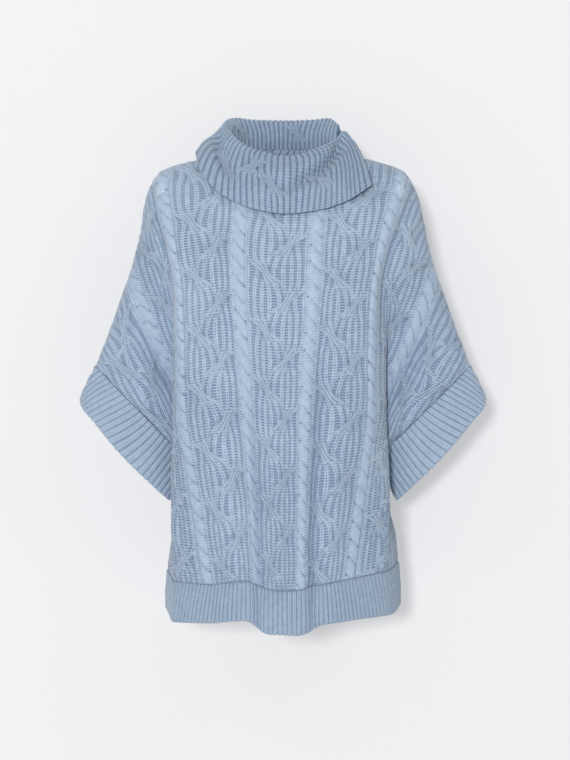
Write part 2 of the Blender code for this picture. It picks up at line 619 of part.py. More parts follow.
# ---------------------------------------------------------------- collar
def collar_rows():
    """The collar's net: one row a place, from the neck seam over the fold to the free edge."""
    rows = []
    for place in COLLAR_PLACES:
        panel = PANELS[place.side]
        seam = cloth(panel, [place.across], top_course(panel, [place.across]))[0]
        fold, edge = np.array(place.fold, float), np.array(place.edge, float)
        out = unit(fold * (1, 1, 0))
        roll = COLLAR_ROLL
        before, after = fold - out * roll - (0, 0, roll), fold + out * roll - (0, 0, roll)
        stand = 0.5 * (seam + before) - out * 3.0
        flap = 0.5 * (after + edge) + (out + (0, 0, 0.6)) * 4.0
        rows.append((seam, stand, before, fold, after, flap, edge))
    return np.array(rows)


def collar_keys():
    """How far along the fold each place of the collar lies."""
    folds = np.array([place.fold for place in COLLAR_PLACES], float)
    return np.concatenate([[0.0], np.cumsum(np.linalg.norm(np.diff(folds, axis=0), axis=1))])


def collar_cloth(along, course):
    """Places of the collar's visible face: inside the stand, outside the flap."""
    along, course = np.broadcast_arrays(np.asarray(along, float), np.asarray(course, float))
    net = np.swapaxes(collar_rows(), 0, 1)
    keys = collar_keys()
    rings = np.array([through(keys, ring, along) for ring in net])
    return through(np.array(COLLAR_COURSES), rings, course)


def collar_frame(along, course):
    """Places and outward directions of the collar's visible face, creased by its folds."""
    step = 1.0
    around = collar_cloth(along + step, course) - collar_cloth(along - step, course)
    over = collar_cloth(along, course + step) - collar_cloth(along, course - step)
    outward = unit(np.cross(around, over))
    places = collar_cloth(along, course)
    creases = fold_depth(COLLAR_FOLDS, *np.broadcast_arrays(along, course))[:, None]
    return places - outward * creases, outward


def neck_keys(side, wales):
    """Where a panel's wales meet the collar: each on a rib's crown or gutter, so that the
    mesh points of both edges fit."""
    keys, across = collar_keys(), column_of(COLLAR_PLACES, "across")
    corner = int(np.argmin(across))
    rows = np.arange(corner + 1)[::-1] if side == FRONT else np.arange(corner, len(keys))
    beyond = (NECK_CORNER - across[rows[-1]]) / (across[rows[-1]] - across[rows[-2]])
    last = keys[rows[-1]] + beyond * (keys[rows[-1]] - keys[rows[-2]])
    at = np.interp(wales, np.append(across[rows], NECK_CORNER), np.append(keys[rows], last))
    step = keys[-1] / COLLAR_RIBS
    return np.round(at / step) * step


def neck_frame(along):
    """Places, outward directions and way-out directions of the panels' neck edge."""
    wales = mesh_wales(NECK_CORNER)
    corner = neck_keys(FRONT, wales)[0]
    places, outward, away = (np.zeros((len(along), 3)) for _ in range(3))
    for side in (FRONT, BACK):
        panel = PANELS[side]
        here = along <= corner + 0.01 if side == FRONT else along > corner + 0.01
        keys = neck_keys(side, wales)
        order = np.argsort(keys)
        edge = (panel, wales[order], top_course(panel, wales[order]), keys[order])
        where, out, _ = edge_frame(*edge, along)
        tangent = edge_frame(*edge, along + NECK_STEP)[0] - edge_frame(*edge, along - NECK_STEP)[0]
        leave = unit(np.cross(tangent, out))
        places[here], outward[here], away[here] = where[here], out[here], leave[here]
    away[np.abs(along - corner) < 0.01] = (1.0, 0.0, 0.0)  # straight in at the shoulder seam
    return places, outward, away


def collar_mesh(name):
    """The collar: a strip that stands on the neck, folds over and hangs open at its slit."""
    length = collar_keys()[-1]

    def columns(count, raise_ribs):
        alongs = np.linspace(0.0, length, count + 1)
        if raise_ribs:
            depth = -RIB_HEIGHT * (np.arange(count + 1) % 2)[:, None]
        else:
            depth = np.full((count + 1, 1), COLLAR_WALL)
        neck, outward, away = neck_frame(alongs)
        seam_depth = WALL - depth if raise_ribs else np.zeros((count + 1, 1))
        corners = np.array([0.0, neck_keys(FRONT, mesh_wales(NECK_CORNER))[0], length])
        near = np.exp(-(((alongs[:, None] - corners) / CORNER_REACH) ** 2)).max(axis=1, keepdims=True)
        rows = [neck - outward * seam_depth + away * (SEAM_GAP + (CORNER_GAP - SEAM_GAP) * near)]
        for course in COLLAR_COURSES[1:]:
            places, out = collar_frame(alongs, np.full(count + 1, course))
            rows.append(places - out * depth)
        return [Column(along, COLLAR_COURSES, np.array(column)) for along, *column in zip(alongs, *rows)]

    return wall_mesh(name, columns(2 * COLLAR_RIBS, True), columns(COLLAR_LINING, False), turned=True)


# ---------------------------------------------------------------- the garment
def wool(name, colour):
    """Matt wool in the colour of one piece."""
    material = bpy.data.materials.new("wool_" + name)
    material.use_nodes = True
    shader = material.node_tree.nodes["Principled BSDF"]
    shader.inputs["Base Color"].default_value = (*colour, 1.0)
    shader.inputs["Roughness"].default_value = WOOL_ROUGHNESS
    shader.inputs["Metallic"].default_value = 0.0
    return material


def main():
    """Clear the scene and build each piece as its own object."""
    for item in list(bpy.data.objects):
        bpy.data.objects.remove(item, do_unlink=True)
    garment = bpy.data.collections.new("poncho_sweater")
    bpy.context.scene.collection.children.link(garment)
    meshes = (
        panel_mesh("front", FRONT_PANEL),
        panel_mesh("back", BACK_PANEL),
        collar_mesh("collar"),
        hem_mesh("hem_front", FRONT_PANEL),
        hem_mesh("hem_back", BACK_PANEL),
        cuff_mesh("cuff_left", -1),
        cuff_mesh("cuff_right", 1),
    )
    for mesh in meshes:
        piece = bpy.data.objects.new(mesh.name, mesh)
        piece.data.materials.append(wool(mesh.name, COLOURS[mesh.name]))
        garment.objects.link(piece)


main()
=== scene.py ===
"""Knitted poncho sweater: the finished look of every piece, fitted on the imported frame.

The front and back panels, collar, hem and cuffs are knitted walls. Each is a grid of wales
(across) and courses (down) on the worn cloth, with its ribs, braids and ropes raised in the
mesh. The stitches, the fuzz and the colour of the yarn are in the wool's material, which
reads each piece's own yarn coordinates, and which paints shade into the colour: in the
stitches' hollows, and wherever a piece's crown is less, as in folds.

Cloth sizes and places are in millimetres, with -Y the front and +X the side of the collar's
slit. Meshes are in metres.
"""

import logging
import math
from dataclasses import dataclass, fields
from enum import Enum
from typing import Any, Callable, Sequence, Union

import bpy
import numpy as np
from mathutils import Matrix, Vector


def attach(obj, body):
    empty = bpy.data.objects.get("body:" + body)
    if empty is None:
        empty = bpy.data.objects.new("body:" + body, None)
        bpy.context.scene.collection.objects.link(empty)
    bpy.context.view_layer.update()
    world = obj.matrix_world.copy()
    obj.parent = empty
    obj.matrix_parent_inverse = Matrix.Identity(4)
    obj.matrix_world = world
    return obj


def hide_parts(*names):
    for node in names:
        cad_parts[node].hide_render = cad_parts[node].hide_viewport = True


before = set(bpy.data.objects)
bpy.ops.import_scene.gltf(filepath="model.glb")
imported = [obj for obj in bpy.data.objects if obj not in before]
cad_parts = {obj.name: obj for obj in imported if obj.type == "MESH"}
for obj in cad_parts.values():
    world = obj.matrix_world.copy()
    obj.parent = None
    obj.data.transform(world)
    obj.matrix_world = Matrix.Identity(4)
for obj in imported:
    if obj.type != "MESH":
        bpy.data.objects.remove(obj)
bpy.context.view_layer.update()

Array = np.ndarray
Place = tuple[float, float, float]

LOG = logging.getLogger("poncho_sweater")
MILLIMETRE = 0.001

# ---- sizes shared by the pieces
HEM_CORNER = 275.0  # wale where the side seam meets the hem
UNDERARM = 330.0  # wale where the cuff seam meets the side seam
CUFF_TOP = 385.0  # wale where it meets the top of the arm
REPEAT = 110.0  # one braid and one rope
RIB = 10.5  # from rib to rib in a braid
STITCH = 4.1  # height of one stitch


class Side(Enum):
    """The two faces of the garment, by the sign of their y."""

    FRONT = -1
    BACK = 1


class Arm(Enum):
    """The two arms, by the sign of their x."""

    LEFT = -1
    RIGHT = 1


@dataclass(frozen=True)
class Wale:
    """One wale of a panel's right half: its courses, and its places from top edge to foot."""

    across: float
    top: float
    foot: float
    places: tuple[Place, ...]


@dataclass(frozen=True)
class Fold:
    """A soft trough (a ridge where depth is negative) along a line on the cloth."""

    across_1: float
    down_1: float
    across_2: float
    down_2: float
    width: float
    depth: float


@dataclass(frozen=True)
class HemPlace:
    """The hem at one wale: how far its seam is lifted, and the height of its band."""

    across: float
    lift: float
    height: float


@dataclass(frozen=True)
class Sway:
    """Sideways shift of the worn cloth at one course."""

    down: float
    shift: float


@dataclass(frozen=True)
class CuffPlace:
    """The cuff's free edge at a share of the way from the top of the arm to the underarm."""

    share: float
    place: Place


@dataclass(frozen=True)
class CollarPlace:
    """The collar's fold and free edge beside one place of the neck seam."""

    side: Side
    across: float
    fold: Place
    edge: Place
    roll: float = 8.0  # radius of the fold


@dataclass(frozen=True)
class Crossing:
    """One crossing of two strands: its place, and +1 where it leans down to the right."""

    across: float
    down: float
    lean: int


FRONT_WALES = tuple(Wale(*row) for row in (
    (0, 32, 650, ((0, -70, -44), (0, -85, -67), (0, -98, -104), (0, -120, -200), (0, -123, -279),
        (0, -125, -351), (0, -129, -524), (0, -132, -625))),
    (55, 20, 650, ((55, -50, -24), (56, -75, -51), (57, -94, -104), (54, -117, -200),
        (48, -120, -279), (43, -122, -351), (35, -127, -524), (32, -130, -623))),
    (90, -18, 650, ((90, 0, 15), (88, -28, 2), (86, -55, -28), (88, -88, -104), (81, -113, -199),
        (75, -117, -279), (71, -118, -351), (56, -124, -525), (52, -127, -621))),
    (110, -13, 650, ((114, 0, 10), (113, -22, 4), (112, -50, -27), (110, -83, -103),
        (99, -108, -199), (96, -110, -279), (93, -112, -351), (75, -120, -525),
        (66, -123, -620))),
    (165, 18, 650, ((180, 0, -9), (179, -20, -17), (175, -43, -44), (158, -72, -111),
        (143, -83, -198), (140, -85, -279), (139, -86, -352), (116, -102, -526),
        (103, -108, -617))),
    (200, 52, 650, ((204, 0, -50), (201, -18, -57), (193, -38, -82), (172, -60, -140),
        (156, -56, -205), (155, -55, -278), (155, -55, -352), (159, -66, -499),
        (156, -70, -613))),
    (240, 92, 650, ((214, 0, -105), (212, -18, -114), (205, -34, -134), (186, -45, -189),
        (165, -41, -248), (139, -25, -330), (127, -28, -397), (123, -31, -447), (134, -36, -500),
        (159, -38, -560), (165, -38, -613))),
    (275, 128, 650, ((228, 0, -158), (225, -16, -166), (218, -30, -186), (197, -38, -238),
        (172, -35, -302), (159, -32, -330), (143, -28, -392), (135, -23, -447), (144, -17, -500),
        (165, -9, -560), (172, 0, -618))),
    (300, 155, 545, ((242, 0, -197), (239, -15, -206), (230, -30, -228), (206, -37, -275),
        (180, -35, -330), (162, -32, -372), (149, -27, -410), (142, -20, -447), (150, -11, -500),
        (161, 0, -545))),
    (330, 184, 434, ((257, 0, -241), (255, -15, -249), (240, -29, -272), (213, -35, -315),
        (188, -33, -360), (169, -29, -398), (157, -20, -429), (149, 0, -449))),
    (345, 199, 381, ((263, 0, -257), (261, -15, -265), (250, -27, -286), (224, -33, -332),
        (200, -30, -374), (182, -24, -406))),
    (365, 219, 308, ((272, 0, -279), (270, -13, -285), (260, -24, -303), (236, -28, -348))),
    (385, 238, 244, ((280, 0, -301), (279, -3, -302), (278, -6, -303))),
))

BACK_WALES = tuple(Wale(*row) for row in (
    (0, -5, 650, ((0, 60, 29), (0, 78, 6), (0, 92, -45), (0, 100, -137), (0, 102, -276),
        (0, 106, -431), (0, 115, -617))),
    (55, -8, 650, ((56, 45, 30), (58, 68, 10), (59, 88, -45), (57, 97, -137), (53, 99, -276),
        (46, 103, -431), (39, 113, -617))),
    (90, -18, 650, ((90, 0, 15), (91, 26, 10), (91, 50, -7), (89, 74, -46), (86, 92, -137),
        (80, 96, -276), (74, 99, -431), (62, 110, -616))),
    (110, -13, 650, ((114, 0, 10), (115, 20, 8), (114, 44, -9), (113, 68, -47), (108, 88, -138),
        (102, 92, -276), (96, 96, -431), (77, 107, -616))),
    (165, 18, 650, ((180, 0, -9), (181, 18, -13), (179, 40, -34), (165, 62, -96), (152, 73, -192),
        (149, 75, -276), (146, 82, -430), (117, 96, -615))),
    (200, 52, 650, ((204, 0, -50), (203, 16, -54), (197, 34, -74), (180, 52, -127),
        (163, 52, -201), (158, 50, -277), (157, 50, -383), (159, 58, -506), (159, 66, -615))),
    (240, 92, 650, ((214, 0, -105), (214, 16, -111), (209, 31, -129), (193, 40, -186),
        (170, 38, -247), (142, 25, -330), (130, 28, -397), (125, 31, -447), (134, 36, -500),
        (159, 38, -560), (166, 38, -616))),
    (275, 128, 650, ((228, 0, -158), (227, 14, -164), (222, 27, -182), (203, 34, -236),
        (176, 33, -301), (162, 31, -330), (146, 27, -392), (137, 22, -447), (144, 16, -500),
        (165, 9, -560), (172, 0, -618))),
    (300, 155, 545, ((242, 0, -197), (240, 13, -204), (233, 26, -226), (210, 33, -274),
        (183, 33, -330), (164, 31, -372), (151, 26, -410), (143, 19, -447), (150, 11, -500),
        (161, 0, -545))),
    (330, 184, 434, ((257, 0, -241), (256, 13, -247), (243, 26, -270), (217, 31, -315),
        (192, 31, -360), (171, 28, -398), (158, 19, -429), (149, 0, -449))),
    (345, 199, 381, ((263, 0, -257), (262, 13, -263), (252, 24, -285), (227, 29, -331),
        (203, 27, -373), (185, 23, -406))),
    (365, 219, 308, ((272, 0, -279), (271, 12, -284), (262, 22, -302), (239, 26, -347))),
    (385, 238, 244, ((280, 0, -301), (279, 3, -302), (278, 6, -303))),
))

FRONT_FOLDS = (
    Fold(-46, 400, -50, 760, 15, 7),  # beside the left rope, into the hem
    Fold(78, 320, 86, 760, 12, 8),  # beside the right rope, into the hem
    Fold(-118, 380, -122, 760, 34, -6),
    Fold(128, 380, 134, 760, 30, -5),
    Fold(-184, 85, -182, 330, 8, 8),  # where the arm lifts the cloth off the chest
    Fold(-158, 130, -160, 420, 11, -3),
    Fold(186, 80, 183, 330, 8, 7),
    Fold(160, 130, 160, 420, 11, -3),
    Fold(-300, 250, -262, 400, 16, 5),
    Fold(304, 240, 266, 390, 16, 5),
)
BACK_FOLDS = (
    Fold(-70, 300, -76, 760, 19, 7),
    Fold(62, 340, 70, 760, 18, 7),
    Fold(0, 380, -4, 760, 34, -6),
    Fold(-184, 95, -174, 210, 14, 5),
    Fold(184, 95, 174, 200, 14, 5),
    Fold(-302, 250, -264, 395, 16, 5),
    Fold(300, 245, 264, 390, 16, 5),
)

FRONT_HEM = tuple(HemPlace(*row) for row in (
    (-385, 0, 55), (-330, 6, 55), (-275, 9, 55), (-240, 0, 58), (-200, -5, 59), (-165, -2, 56),
    (-110, 6, 56), (-80, 9, 57), (-50, 4, 62), (-25, 0, 64), (0, -1, 63), (50, -2, 65),
    (80, 1, 64), (110, 3, 58), (165, 6, 60), (200, 10, 64), (240, 16, 67), (275, 23, 65),
    (330, 10, 65), (385, 0, 65),
))
BACK_HEM = tuple(HemPlace(*row) for row in (
    (-385, 0, 55), (-330, 6, 55), (-275, 12, 55), (-200, 8, 58), (-76, 9, 58), (0, 0, 60),
    (70, 9, 59), (200, 14, 62), (275, 23, 65), (330, 10, 65), (385, 0, 65),
))

SWAYS = (Sway(0, 0), Sway(60, -3), Sway(110, -6), Sway(160, -9), Sway(300, -10), Sway(500, -8),
         Sway(760, -5))

CUFF_EDGE = tuple(CuffPlace(*row) for row in (
    (0.00, (304, 0, -351)), (0.06, (303, -11, -356)), (0.16, (298, -21, -366)),
    (0.29, (282, -27, -384)), (0.43, (262, -29, -409)), (0.57, (235, -26, -440)),
    (0.70, (209, -23, -466)), (0.85, (186, -17, -488)), (0.94, (174, -9, -499)),
    (1.00, (170, 0, -503)),
))

# From the free end over the slit, round the front, the left side and the back.
COLLAR_PLACES = (
    CollarPlace(Side.FRONT, 84, (93, 2, 51), (131, -70, -34)),
    CollarPlace(Side.FRONT, 74, (87, -14, 43), (111, -81, -48)),
    CollarPlace(Side.FRONT, 55, (73, -33, 31), (90, -85, -61)),
    CollarPlace(Side.FRONT, 30, (44, -55, 12), (48, -98, -75)),
    CollarPlace(Side.FRONT, 0, (4, -63, 6), (4, -104, -80)),
    CollarPlace(Side.FRONT, -30, (-37, -58, 15), (-42, -99, -73)),
    CollarPlace(Side.FRONT, -58, (-67, -38, 32), (-88, -82, -51)),
    CollarPlace(Side.FRONT, -76, (-81, -18, 47), (-121, -65, -14)),
    CollarPlace(Side.FRONT, -90, (-86, 0, 57), (-131, 0, 18)),
    CollarPlace(Side.BACK, -76, (-83, 22, 69), (-127, 41, 6)),
    CollarPlace(Side.BACK, -56, (-67, 42, 74), (-101, 68, -5)),
    CollarPlace(Side.BACK, -30, (-38, 57, 73), (-53, 90, -10)),
    CollarPlace(Side.BACK, 0, (0, 62, 73), (0, 96, -12)),
    CollarPlace(Side.BACK, 30, (38, 57, 73), (53, 90, -9)),
    CollarPlace(Side.BACK, 56, (67, 42, 74), (98, 68, -2), 6.0),
    CollarPlace(Side.BACK, 84, (84, 14, 61), (118, 26, 22), 2.2),
)
# Height up and over the collar at the seam, mid stand, before, on and after the fold,
# mid flap and free edge.
COLLAR_COURSES = (0.0, 23.0, 44.0, 54.0, 64.0, 104.0, 145.0)
COLLAR_FOLDS = (
    Fold(26, 60, 124, 104, 8, 14),
    Fold(66, 56, 146, 92, 13, -6),
    Fold(250, 66, 200, 112, 9, 9),
)
COLLAR_CROSSINGS = (
    Crossing(173, 82, 1), Crossing(145, 105, -1), Crossing(83, 100, -1), Crossing(213, 98, -1),
    Crossing(300, 34, -1), Crossing(410, 30, -1),
)


# ---- curves through tables
def smooth(share: Array) -> Array:
    """Give a soft step from 0 to 1 as share goes from 0 to 1: 3 s^2 - 2 s^3."""
    share = np.clip(share, 0.0, 1.0)
    return share * share * (3.0 - 2.0 * share)


def bell(distance: Array, width: float) -> Array:
    """Give a bell of height 1: e to the minus square of distance over width."""
    return np.exp(-((distance / width) ** 2))


@dataclass(frozen=True)
class Ramp:
    """A soft step along a measure, from its start over its run, or back over a negative one."""

    start: float
    run: float
    rise: float = 1.0
    least: float = 0.0

    def at(self, measure: Array) -> Array:
        """Give the step's height at a measure: its least plus its share of the rise."""
        return self.least + self.rise * smooth((measure - self.start) / self.run)


@dataclass(frozen=True)
class Swell:
    """A bell along a measure: its middle, width and height."""

    middle: float
    width: float
    height: float = 1.0

    def at(self, measure: Array) -> Array:
        """Give the bell's height at a measure."""
        return self.height * bell(measure - self.middle, self.width)


def unit(vectors: Array) -> Array:
    """Give the vectors at length one."""
    return vectors / np.maximum(np.linalg.norm(vectors, axis=-1, keepdims=True), 1e-9)


def through(knots: Sequence[float], values: Array, at: Array) -> Array:
    """Read a curve that never overshoots its values.

    Each cell between two knots is a cubic Hermite curve. Its slope at a knot is the harmonic
    mean of the slopes beside it, or zero where they differ in sign.

    Args:
        knots: rising places of the values.
        values: one row a knot.
        at: places to read, of any shape if the values are single numbers, or else a row.

    Returns:
        The curve's values at those places.
    """
    knots = np.asarray(knots, float)
    values = np.asarray(values, float)
    at = np.asarray(at, float)
    gaps = np.diff(knots).reshape((-1,) + (1,) * (values.ndim - 1))
    slopes = np.diff(values, axis=0) / gaps
    level = slopes[:-1] * slopes[1:]
    mean = level / np.where(level > 0, slopes[:-1] + slopes[1:], 1.0) * 2.0
    inner = np.where(level > 0, mean, 0.0)
    tangents = np.concatenate([slopes[:1], inner, slopes[-1:]])
    cell = np.clip(np.searchsorted(knots, at, side="right") - 1, 0, len(knots) - 2)
    shape = at.shape + ((1,) if values.ndim > 1 else ())
    step = (knots[cell + 1] - knots[cell]).reshape(shape)
    part = (at - knots[cell]).reshape(shape) / step
    leave, arrive = tangents[cell] * step, tangents[cell + 1] * step
    return (values[cell] * (1 + 2 * part) * (1 - part) ** 2 + leave * part * (1 - part) ** 2
            + values[cell + 1] * part ** 2 * (3 - 2 * part) - arrive * part ** 2 * (1 - part))


def column_of(table: Sequence[Any], name: str) -> Array:
    """Give one named column of a table as an array."""
    return np.array([getattr(row, name) for row in table], float)


def read(table: Sequence[Any], key: str, name: str, at: Array) -> Array:
    """Read one column of a table as a curve over its key column."""
    return through(column_of(table, key), column_of(table, name), at)


def reach_along(chain: Array) -> Array:
    """Give how far along a chain each of its places lies."""
    return np.append(0.0, np.cumsum(np.linalg.norm(np.diff(chain, axis=0), axis=1)))


def along_places(places: Sequence[Place], share: Array) -> Array:
    """Give points at shares of the way along a chain of places, through a smooth curve.

    Args:
        places: corners of the chain.
        share: shares of its length.

    Returns:
        One point a share.
    """
    chain = np.array(places, float)
    reach = reach_along(chain)
    return through(reach / reach[-1], chain, share)


def area_under(values: Array, at: Array) -> float:
    """Give the area in square metres under values in millimetres: steps times means."""
    return float(np.sum(0.5 * (values[1:] + values[:-1]) * np.diff(at))) * MILLIMETRE ** 2


def fold_depth(folds: Sequence[Fold], across: Array, down: Array) -> Array:
    """Give how far folds press the cloth in: a bell over each line, fading at its ends.

    Args:
        folds: lines on the cloth.
        across: wales.
        down: courses.

    Returns:
        Depth in millimetres at each place.
    """
    depth = np.zeros_like(across)
    for fold in folds:
        run = np.array([fold.across_2 - fold.across_1, fold.down_2 - fold.down_1], float)
        length = float(np.linalg.norm(run))
        run, fade = run / length, 0.5 * length
        aside, below = across - fold.across_1, down - fold.down_1
        lead = aside * run[0] + below * run[1]
        beside = aside * run[1] - below * run[0]
        ends = smooth(0.5 + lead / fade) * smooth(0.5 + (length - lead) / fade)
        depth = depth + fold.depth * ends * bell(beside, fold.width)
    return depth


def normals(places: Array, flip: float, closed: bool = False) -> Array:
    """Give the unit normals of a grid of places.

    The normal is the cross product of the way down the grid with the way across it, times
    flip. The ways are central differences, which run round the ring where it is closed.

    Args:
        places: grid, one row a wale.
        flip: 1.0 or -1.0.
        closed: whether the rows run round a ring.

    Returns:
        One unit vector a place.
    """
    if closed:
        along = np.roll(places, -1, axis=0) - np.roll(places, 1, axis=0)
    else:
        along = np.gradient(places, axis=0)
    return unit(np.cross(np.gradient(places, axis=1), along) * flip)


# ---- knitted relief
BURIED = -99.0  # a height that every other relief covers
TIP = 0.9  # how far a rib's crest stands past a free edge
UNEVEN = 0.06  # share of the height in each wave of hand-fed knitting
# Their lengths across and down the cloth, over 2 pi, and their starts.
UNEVEN_WAVES = ((23.0, 41.0, 0.0), (37.0, -19.0, 1.3), (11.0, 13.0, 2.1))


@dataclass
class Relief:
    """Height of a knit over its cloth, with the yarn coordinates of its stitches.

    wale is a whole number on the crest of each rib. crown is painted into the wool's colour as
    shade: 1 in the open and 0 in the deepest painted shade. gape is 1 where the gutters between
    ribs are open and show their loops, and 0 where ribs are pressed together.
    """

    height: Array
    wale: Array
    crown: Array
    gape: Array

    def over(self, other: "Relief") -> "Relief":
        """Give this relief where it is the higher one, and the other one elsewhere."""
        wins = self.height > other.height
        return Relief(*(np.where(wins, getattr(self, part.name), getattr(other, part.name))
                        for part in fields(Relief)))


def crest(wale: Array, power: float = 1.1) -> Array:
    """Give the section of a rib: a raised cosine to a power, broader where the power is less."""
    return (0.5 + 0.5 * np.cos(2 * np.pi * wale)) ** power


def unevenness(across: Array, down: Array) -> Array:
    """Give the slow ups and downs of hand-fed knitting, about 1: a sum of three waves."""
    waves = sum(np.sin(across / wide + down / tall + start)
                for wide, tall, start in UNEVEN_WAVES)
    return 1.0 + UNEVEN * waves


@dataclass(frozen=True)
class RibKnit:
    """Plain ribs, and the crossings that trade three of them for three others."""

    rib_height: float = 1.5
    power: float = 1.1
    base: float = 0.9
    over_height: float = 1.2
    reach: float = 25.0  # courses from a crossing's middle to its ends
    squeeze: float = 0.85  # how far ribs crowd in at a crossing
    squeeze_width: float = 14.0
    squeeze_length: float = 17.0
    half: float = 1.5  # ribs from a strand's middle to its edge
    narrow: float = 0.28  # how much narrower a strand is halfway over
    melt: float = 0.8  # how far its ribs melt together there
    melted: float = 0.7  # into this share of a rib's height
    closing: tuple[float, float] = (2.4, 0.7)  # how fast its gutters close as it lifts, how late
    sink: float = 0.7  # share of their height by which ribs dip under a crossing
    sink_shade: float = 0.6  # and of their crown, as painted shade under a crossing
    least_crown: float = 0.75  # crown between two ribs, for painted shade in the gutter; a crest has 1

    def crown_on(self, ridge: Array) -> Array:
        """Give the crown over a ridge from 0 to 1, which sets the painted shade."""
        return self.least_crown + (1.0 - self.least_crown) * ridge

    def ribs(self, wale: Array) -> Relief:
        """Give ribs with their crests on the whole wales.

        Args:
            wale: wale of each place.

        Returns:
            The ribs' relief.
        """
        ridge = crest(wale, self.power)
        height = self.base + self.rib_height * ridge
        return Relief(height, wale, self.crown_on(ridge), np.ones_like(height))

    def crowded(self, across: Array, offset: Array, beat: Array) -> Array:
        """Give `across` as it is when the ribs crowd towards a crossing.

        Args:
            across: places over the ribs.
            offset: signed distance from the crossing, across.
            beat: signed distance from the crossing, down.

        Returns:
            across plus squeeze times offset times two bells, so that the ribs stand closer
            at the crossing and wider beside it.
        """
        pull = bell(offset, self.squeeze_width) * bell(beat, self.squeeze_length)
        return across + self.squeeze * offset * pull

    def strand(self, offset: Array, beat: Array, lean: int) -> Relief:
        """Give the upper strand of a crossing.

        Its middle goes from one slot to the next along a soft step of the beat, and it stands
        highest halfway. It is three ribs wide.

        Args:
            offset: distance from the crossing, across, in the crowded ribs.
            beat: distance from the crossing, down.
            lean: +1 where the strand leads down to the right, and -1 to the left.

        Returns:
            The strand's relief, far below the cloth where there is no strand.
        """
        swing = lean * (2.0 * smooth(0.5 + 0.5 * beat / self.reach) - 1.0)
        width = 1.0 - self.narrow * bell(beat, 0.5 * self.reach)
        wale = (offset / RIB - self.half * swing) / width
        inside = (np.abs(wale) < self.half) & (np.abs(beat) < self.reach)
        lift = smooth(1.0 - np.abs(beat) / self.reach)
        edge = np.sqrt(np.clip(1.0 - (wale / self.half) ** 2, 0.0, 1.0))
        ridge = crest(wale) + (self.melted - crest(wale)) * self.melt * lift
        height = self.base + self.rib_height * ridge + self.over_height * lift * edge
        rate, late = self.closing
        return Relief(np.where(inside, height, BURIED), wale,
                      self.crown_on(np.maximum(ridge, lift * edge)),
                      1.0 - smooth(rate * lift - late))

    def sunk(self, ribs: Relief, offset: Array, beat: Array) -> Relief:
        """Let ribs dip and take painted shade under a crossing: a bell across times a bell down.

        Args:
            ribs: relief of the ribs.
            offset: distance from the crossing, across.
            beat: distance from the crossing, down.

        Returns:
            The ribs' relief with its dip.
        """
        dip = bell(offset, self.squeeze_width) * bell(beat, 0.4 * self.reach)
        return Relief(ribs.height * (1.0 - self.sink * dip), ribs.wale,
                      ribs.crown * (1.0 - self.sink_shade * dip), ribs.gape)

    def crossed(self, across: Array, crossings: Sequence[tuple[float, Array, int]],
                shift: float = 0.0) -> Relief:
        """Give ribs with crossings: ribs crowd in and sink under, and then strands lie over.

        Args:
            across: places over the ribs.
            crossings: where each one is across, the distances down from it, and its lean.
            shift: wales from where across is 0 to the first crest.

        Returns:
            The relief of ribs and strands.
        """
        wide = across
        for middle, beat, _ in crossings:
            wide = self.crowded(wide, across - middle, beat)
        relief = self.ribs(wide / RIB - shift)
        for middle, beat, _ in crossings:
            relief = self.sunk(relief, wide - middle, beat)
        for middle, beat, lean in crossings:
            relief = self.strand(wide - middle, beat, lean).over(relief)
        return relief


@dataclass(frozen=True)
class Rope:
    """A rope of two round strands that wind about each other."""

    half: float = 10.6  # of its width
    twist: float = 26.0  # courses of half a turn
    slope: float = 6.4  # how far a strand's edge has gone across at an eighth of a turn
    base: float = 0.5
    rise: float = 1.5
    swell: Ramp = Ramp(0.0, 5.0)  # how much higher a strand is beside its dips
    dip: float = 0.7
    dip_width: float = 1.5
    # painted shade over the whole rope, by a crown under 1
    crown: float = 0.8
    shade: Ramp = Ramp(-8.0, 16.0, 0.5, least=0.15)  # painted shade in a dip: crown lost there, more to the right, away from the light
    wale: float = 0.15  # just aside of a crest, for even stitches all over
    gape: Ramp = Ramp(-3.5, 2.5)  # from the rope's edge
    gutter: float = 2.0  # half width of the gutter beside it
    gutter_depth: float = 0.35

    def strands(self, across: Array, down: Array) -> Relief:
        """Give the two strands.

        A strand dips under the other where across times the cosine of the turn equals the
        slope times its sine, which is a line that leads down to the right. The dip is a bell
        over that line, with painted shade in it, and each strand swells beside it.

        Args:
            across: places from the rope's middle.
            down: courses.

        Returns:
            The strands' relief.
        """
        turn = np.pi * down / self.twist
        beside = across * np.cos(turn) - self.slope * np.sin(turn)
        dip = bell(beside, self.dip_width)
        round_top = np.clip(1.0 - (across / self.half) ** 2, 0.0, 1.0)
        height = self.base + (self.rise + self.swell.at(np.abs(beside))) * round_top
        return Relief(height - self.dip * dip, np.full_like(height, self.wale),
                      self.crown - dip * self.shade.at(across),
                      self.gape.at(np.abs(across) - self.half))

    def laid(self, ground: Relief, across: Array, down: Array) -> Relief:
        """Lay the rope on its ground, with a gutter on both sides.

        Args:
            ground: relief of the ribs, which is changed.
            across: places from the rope's middle.
            down: courses.

        Returns:
            Relief of the rope and its ground.
        """
        beside = np.abs(across) - self.half
        gutter = np.clip(1.0 - np.abs(beside) / self.gutter, 0.0, 1.0)
        ground.height = ground.height * (1.0 - self.gutter_depth * gutter)
        inside = beside < 0.0
        rope = self.strands(across, down)
        rope.height = np.where(inside, rope.height, BURIED)
        ground.height = np.where(inside, self.base, ground.height)
        return rope.over(ground)


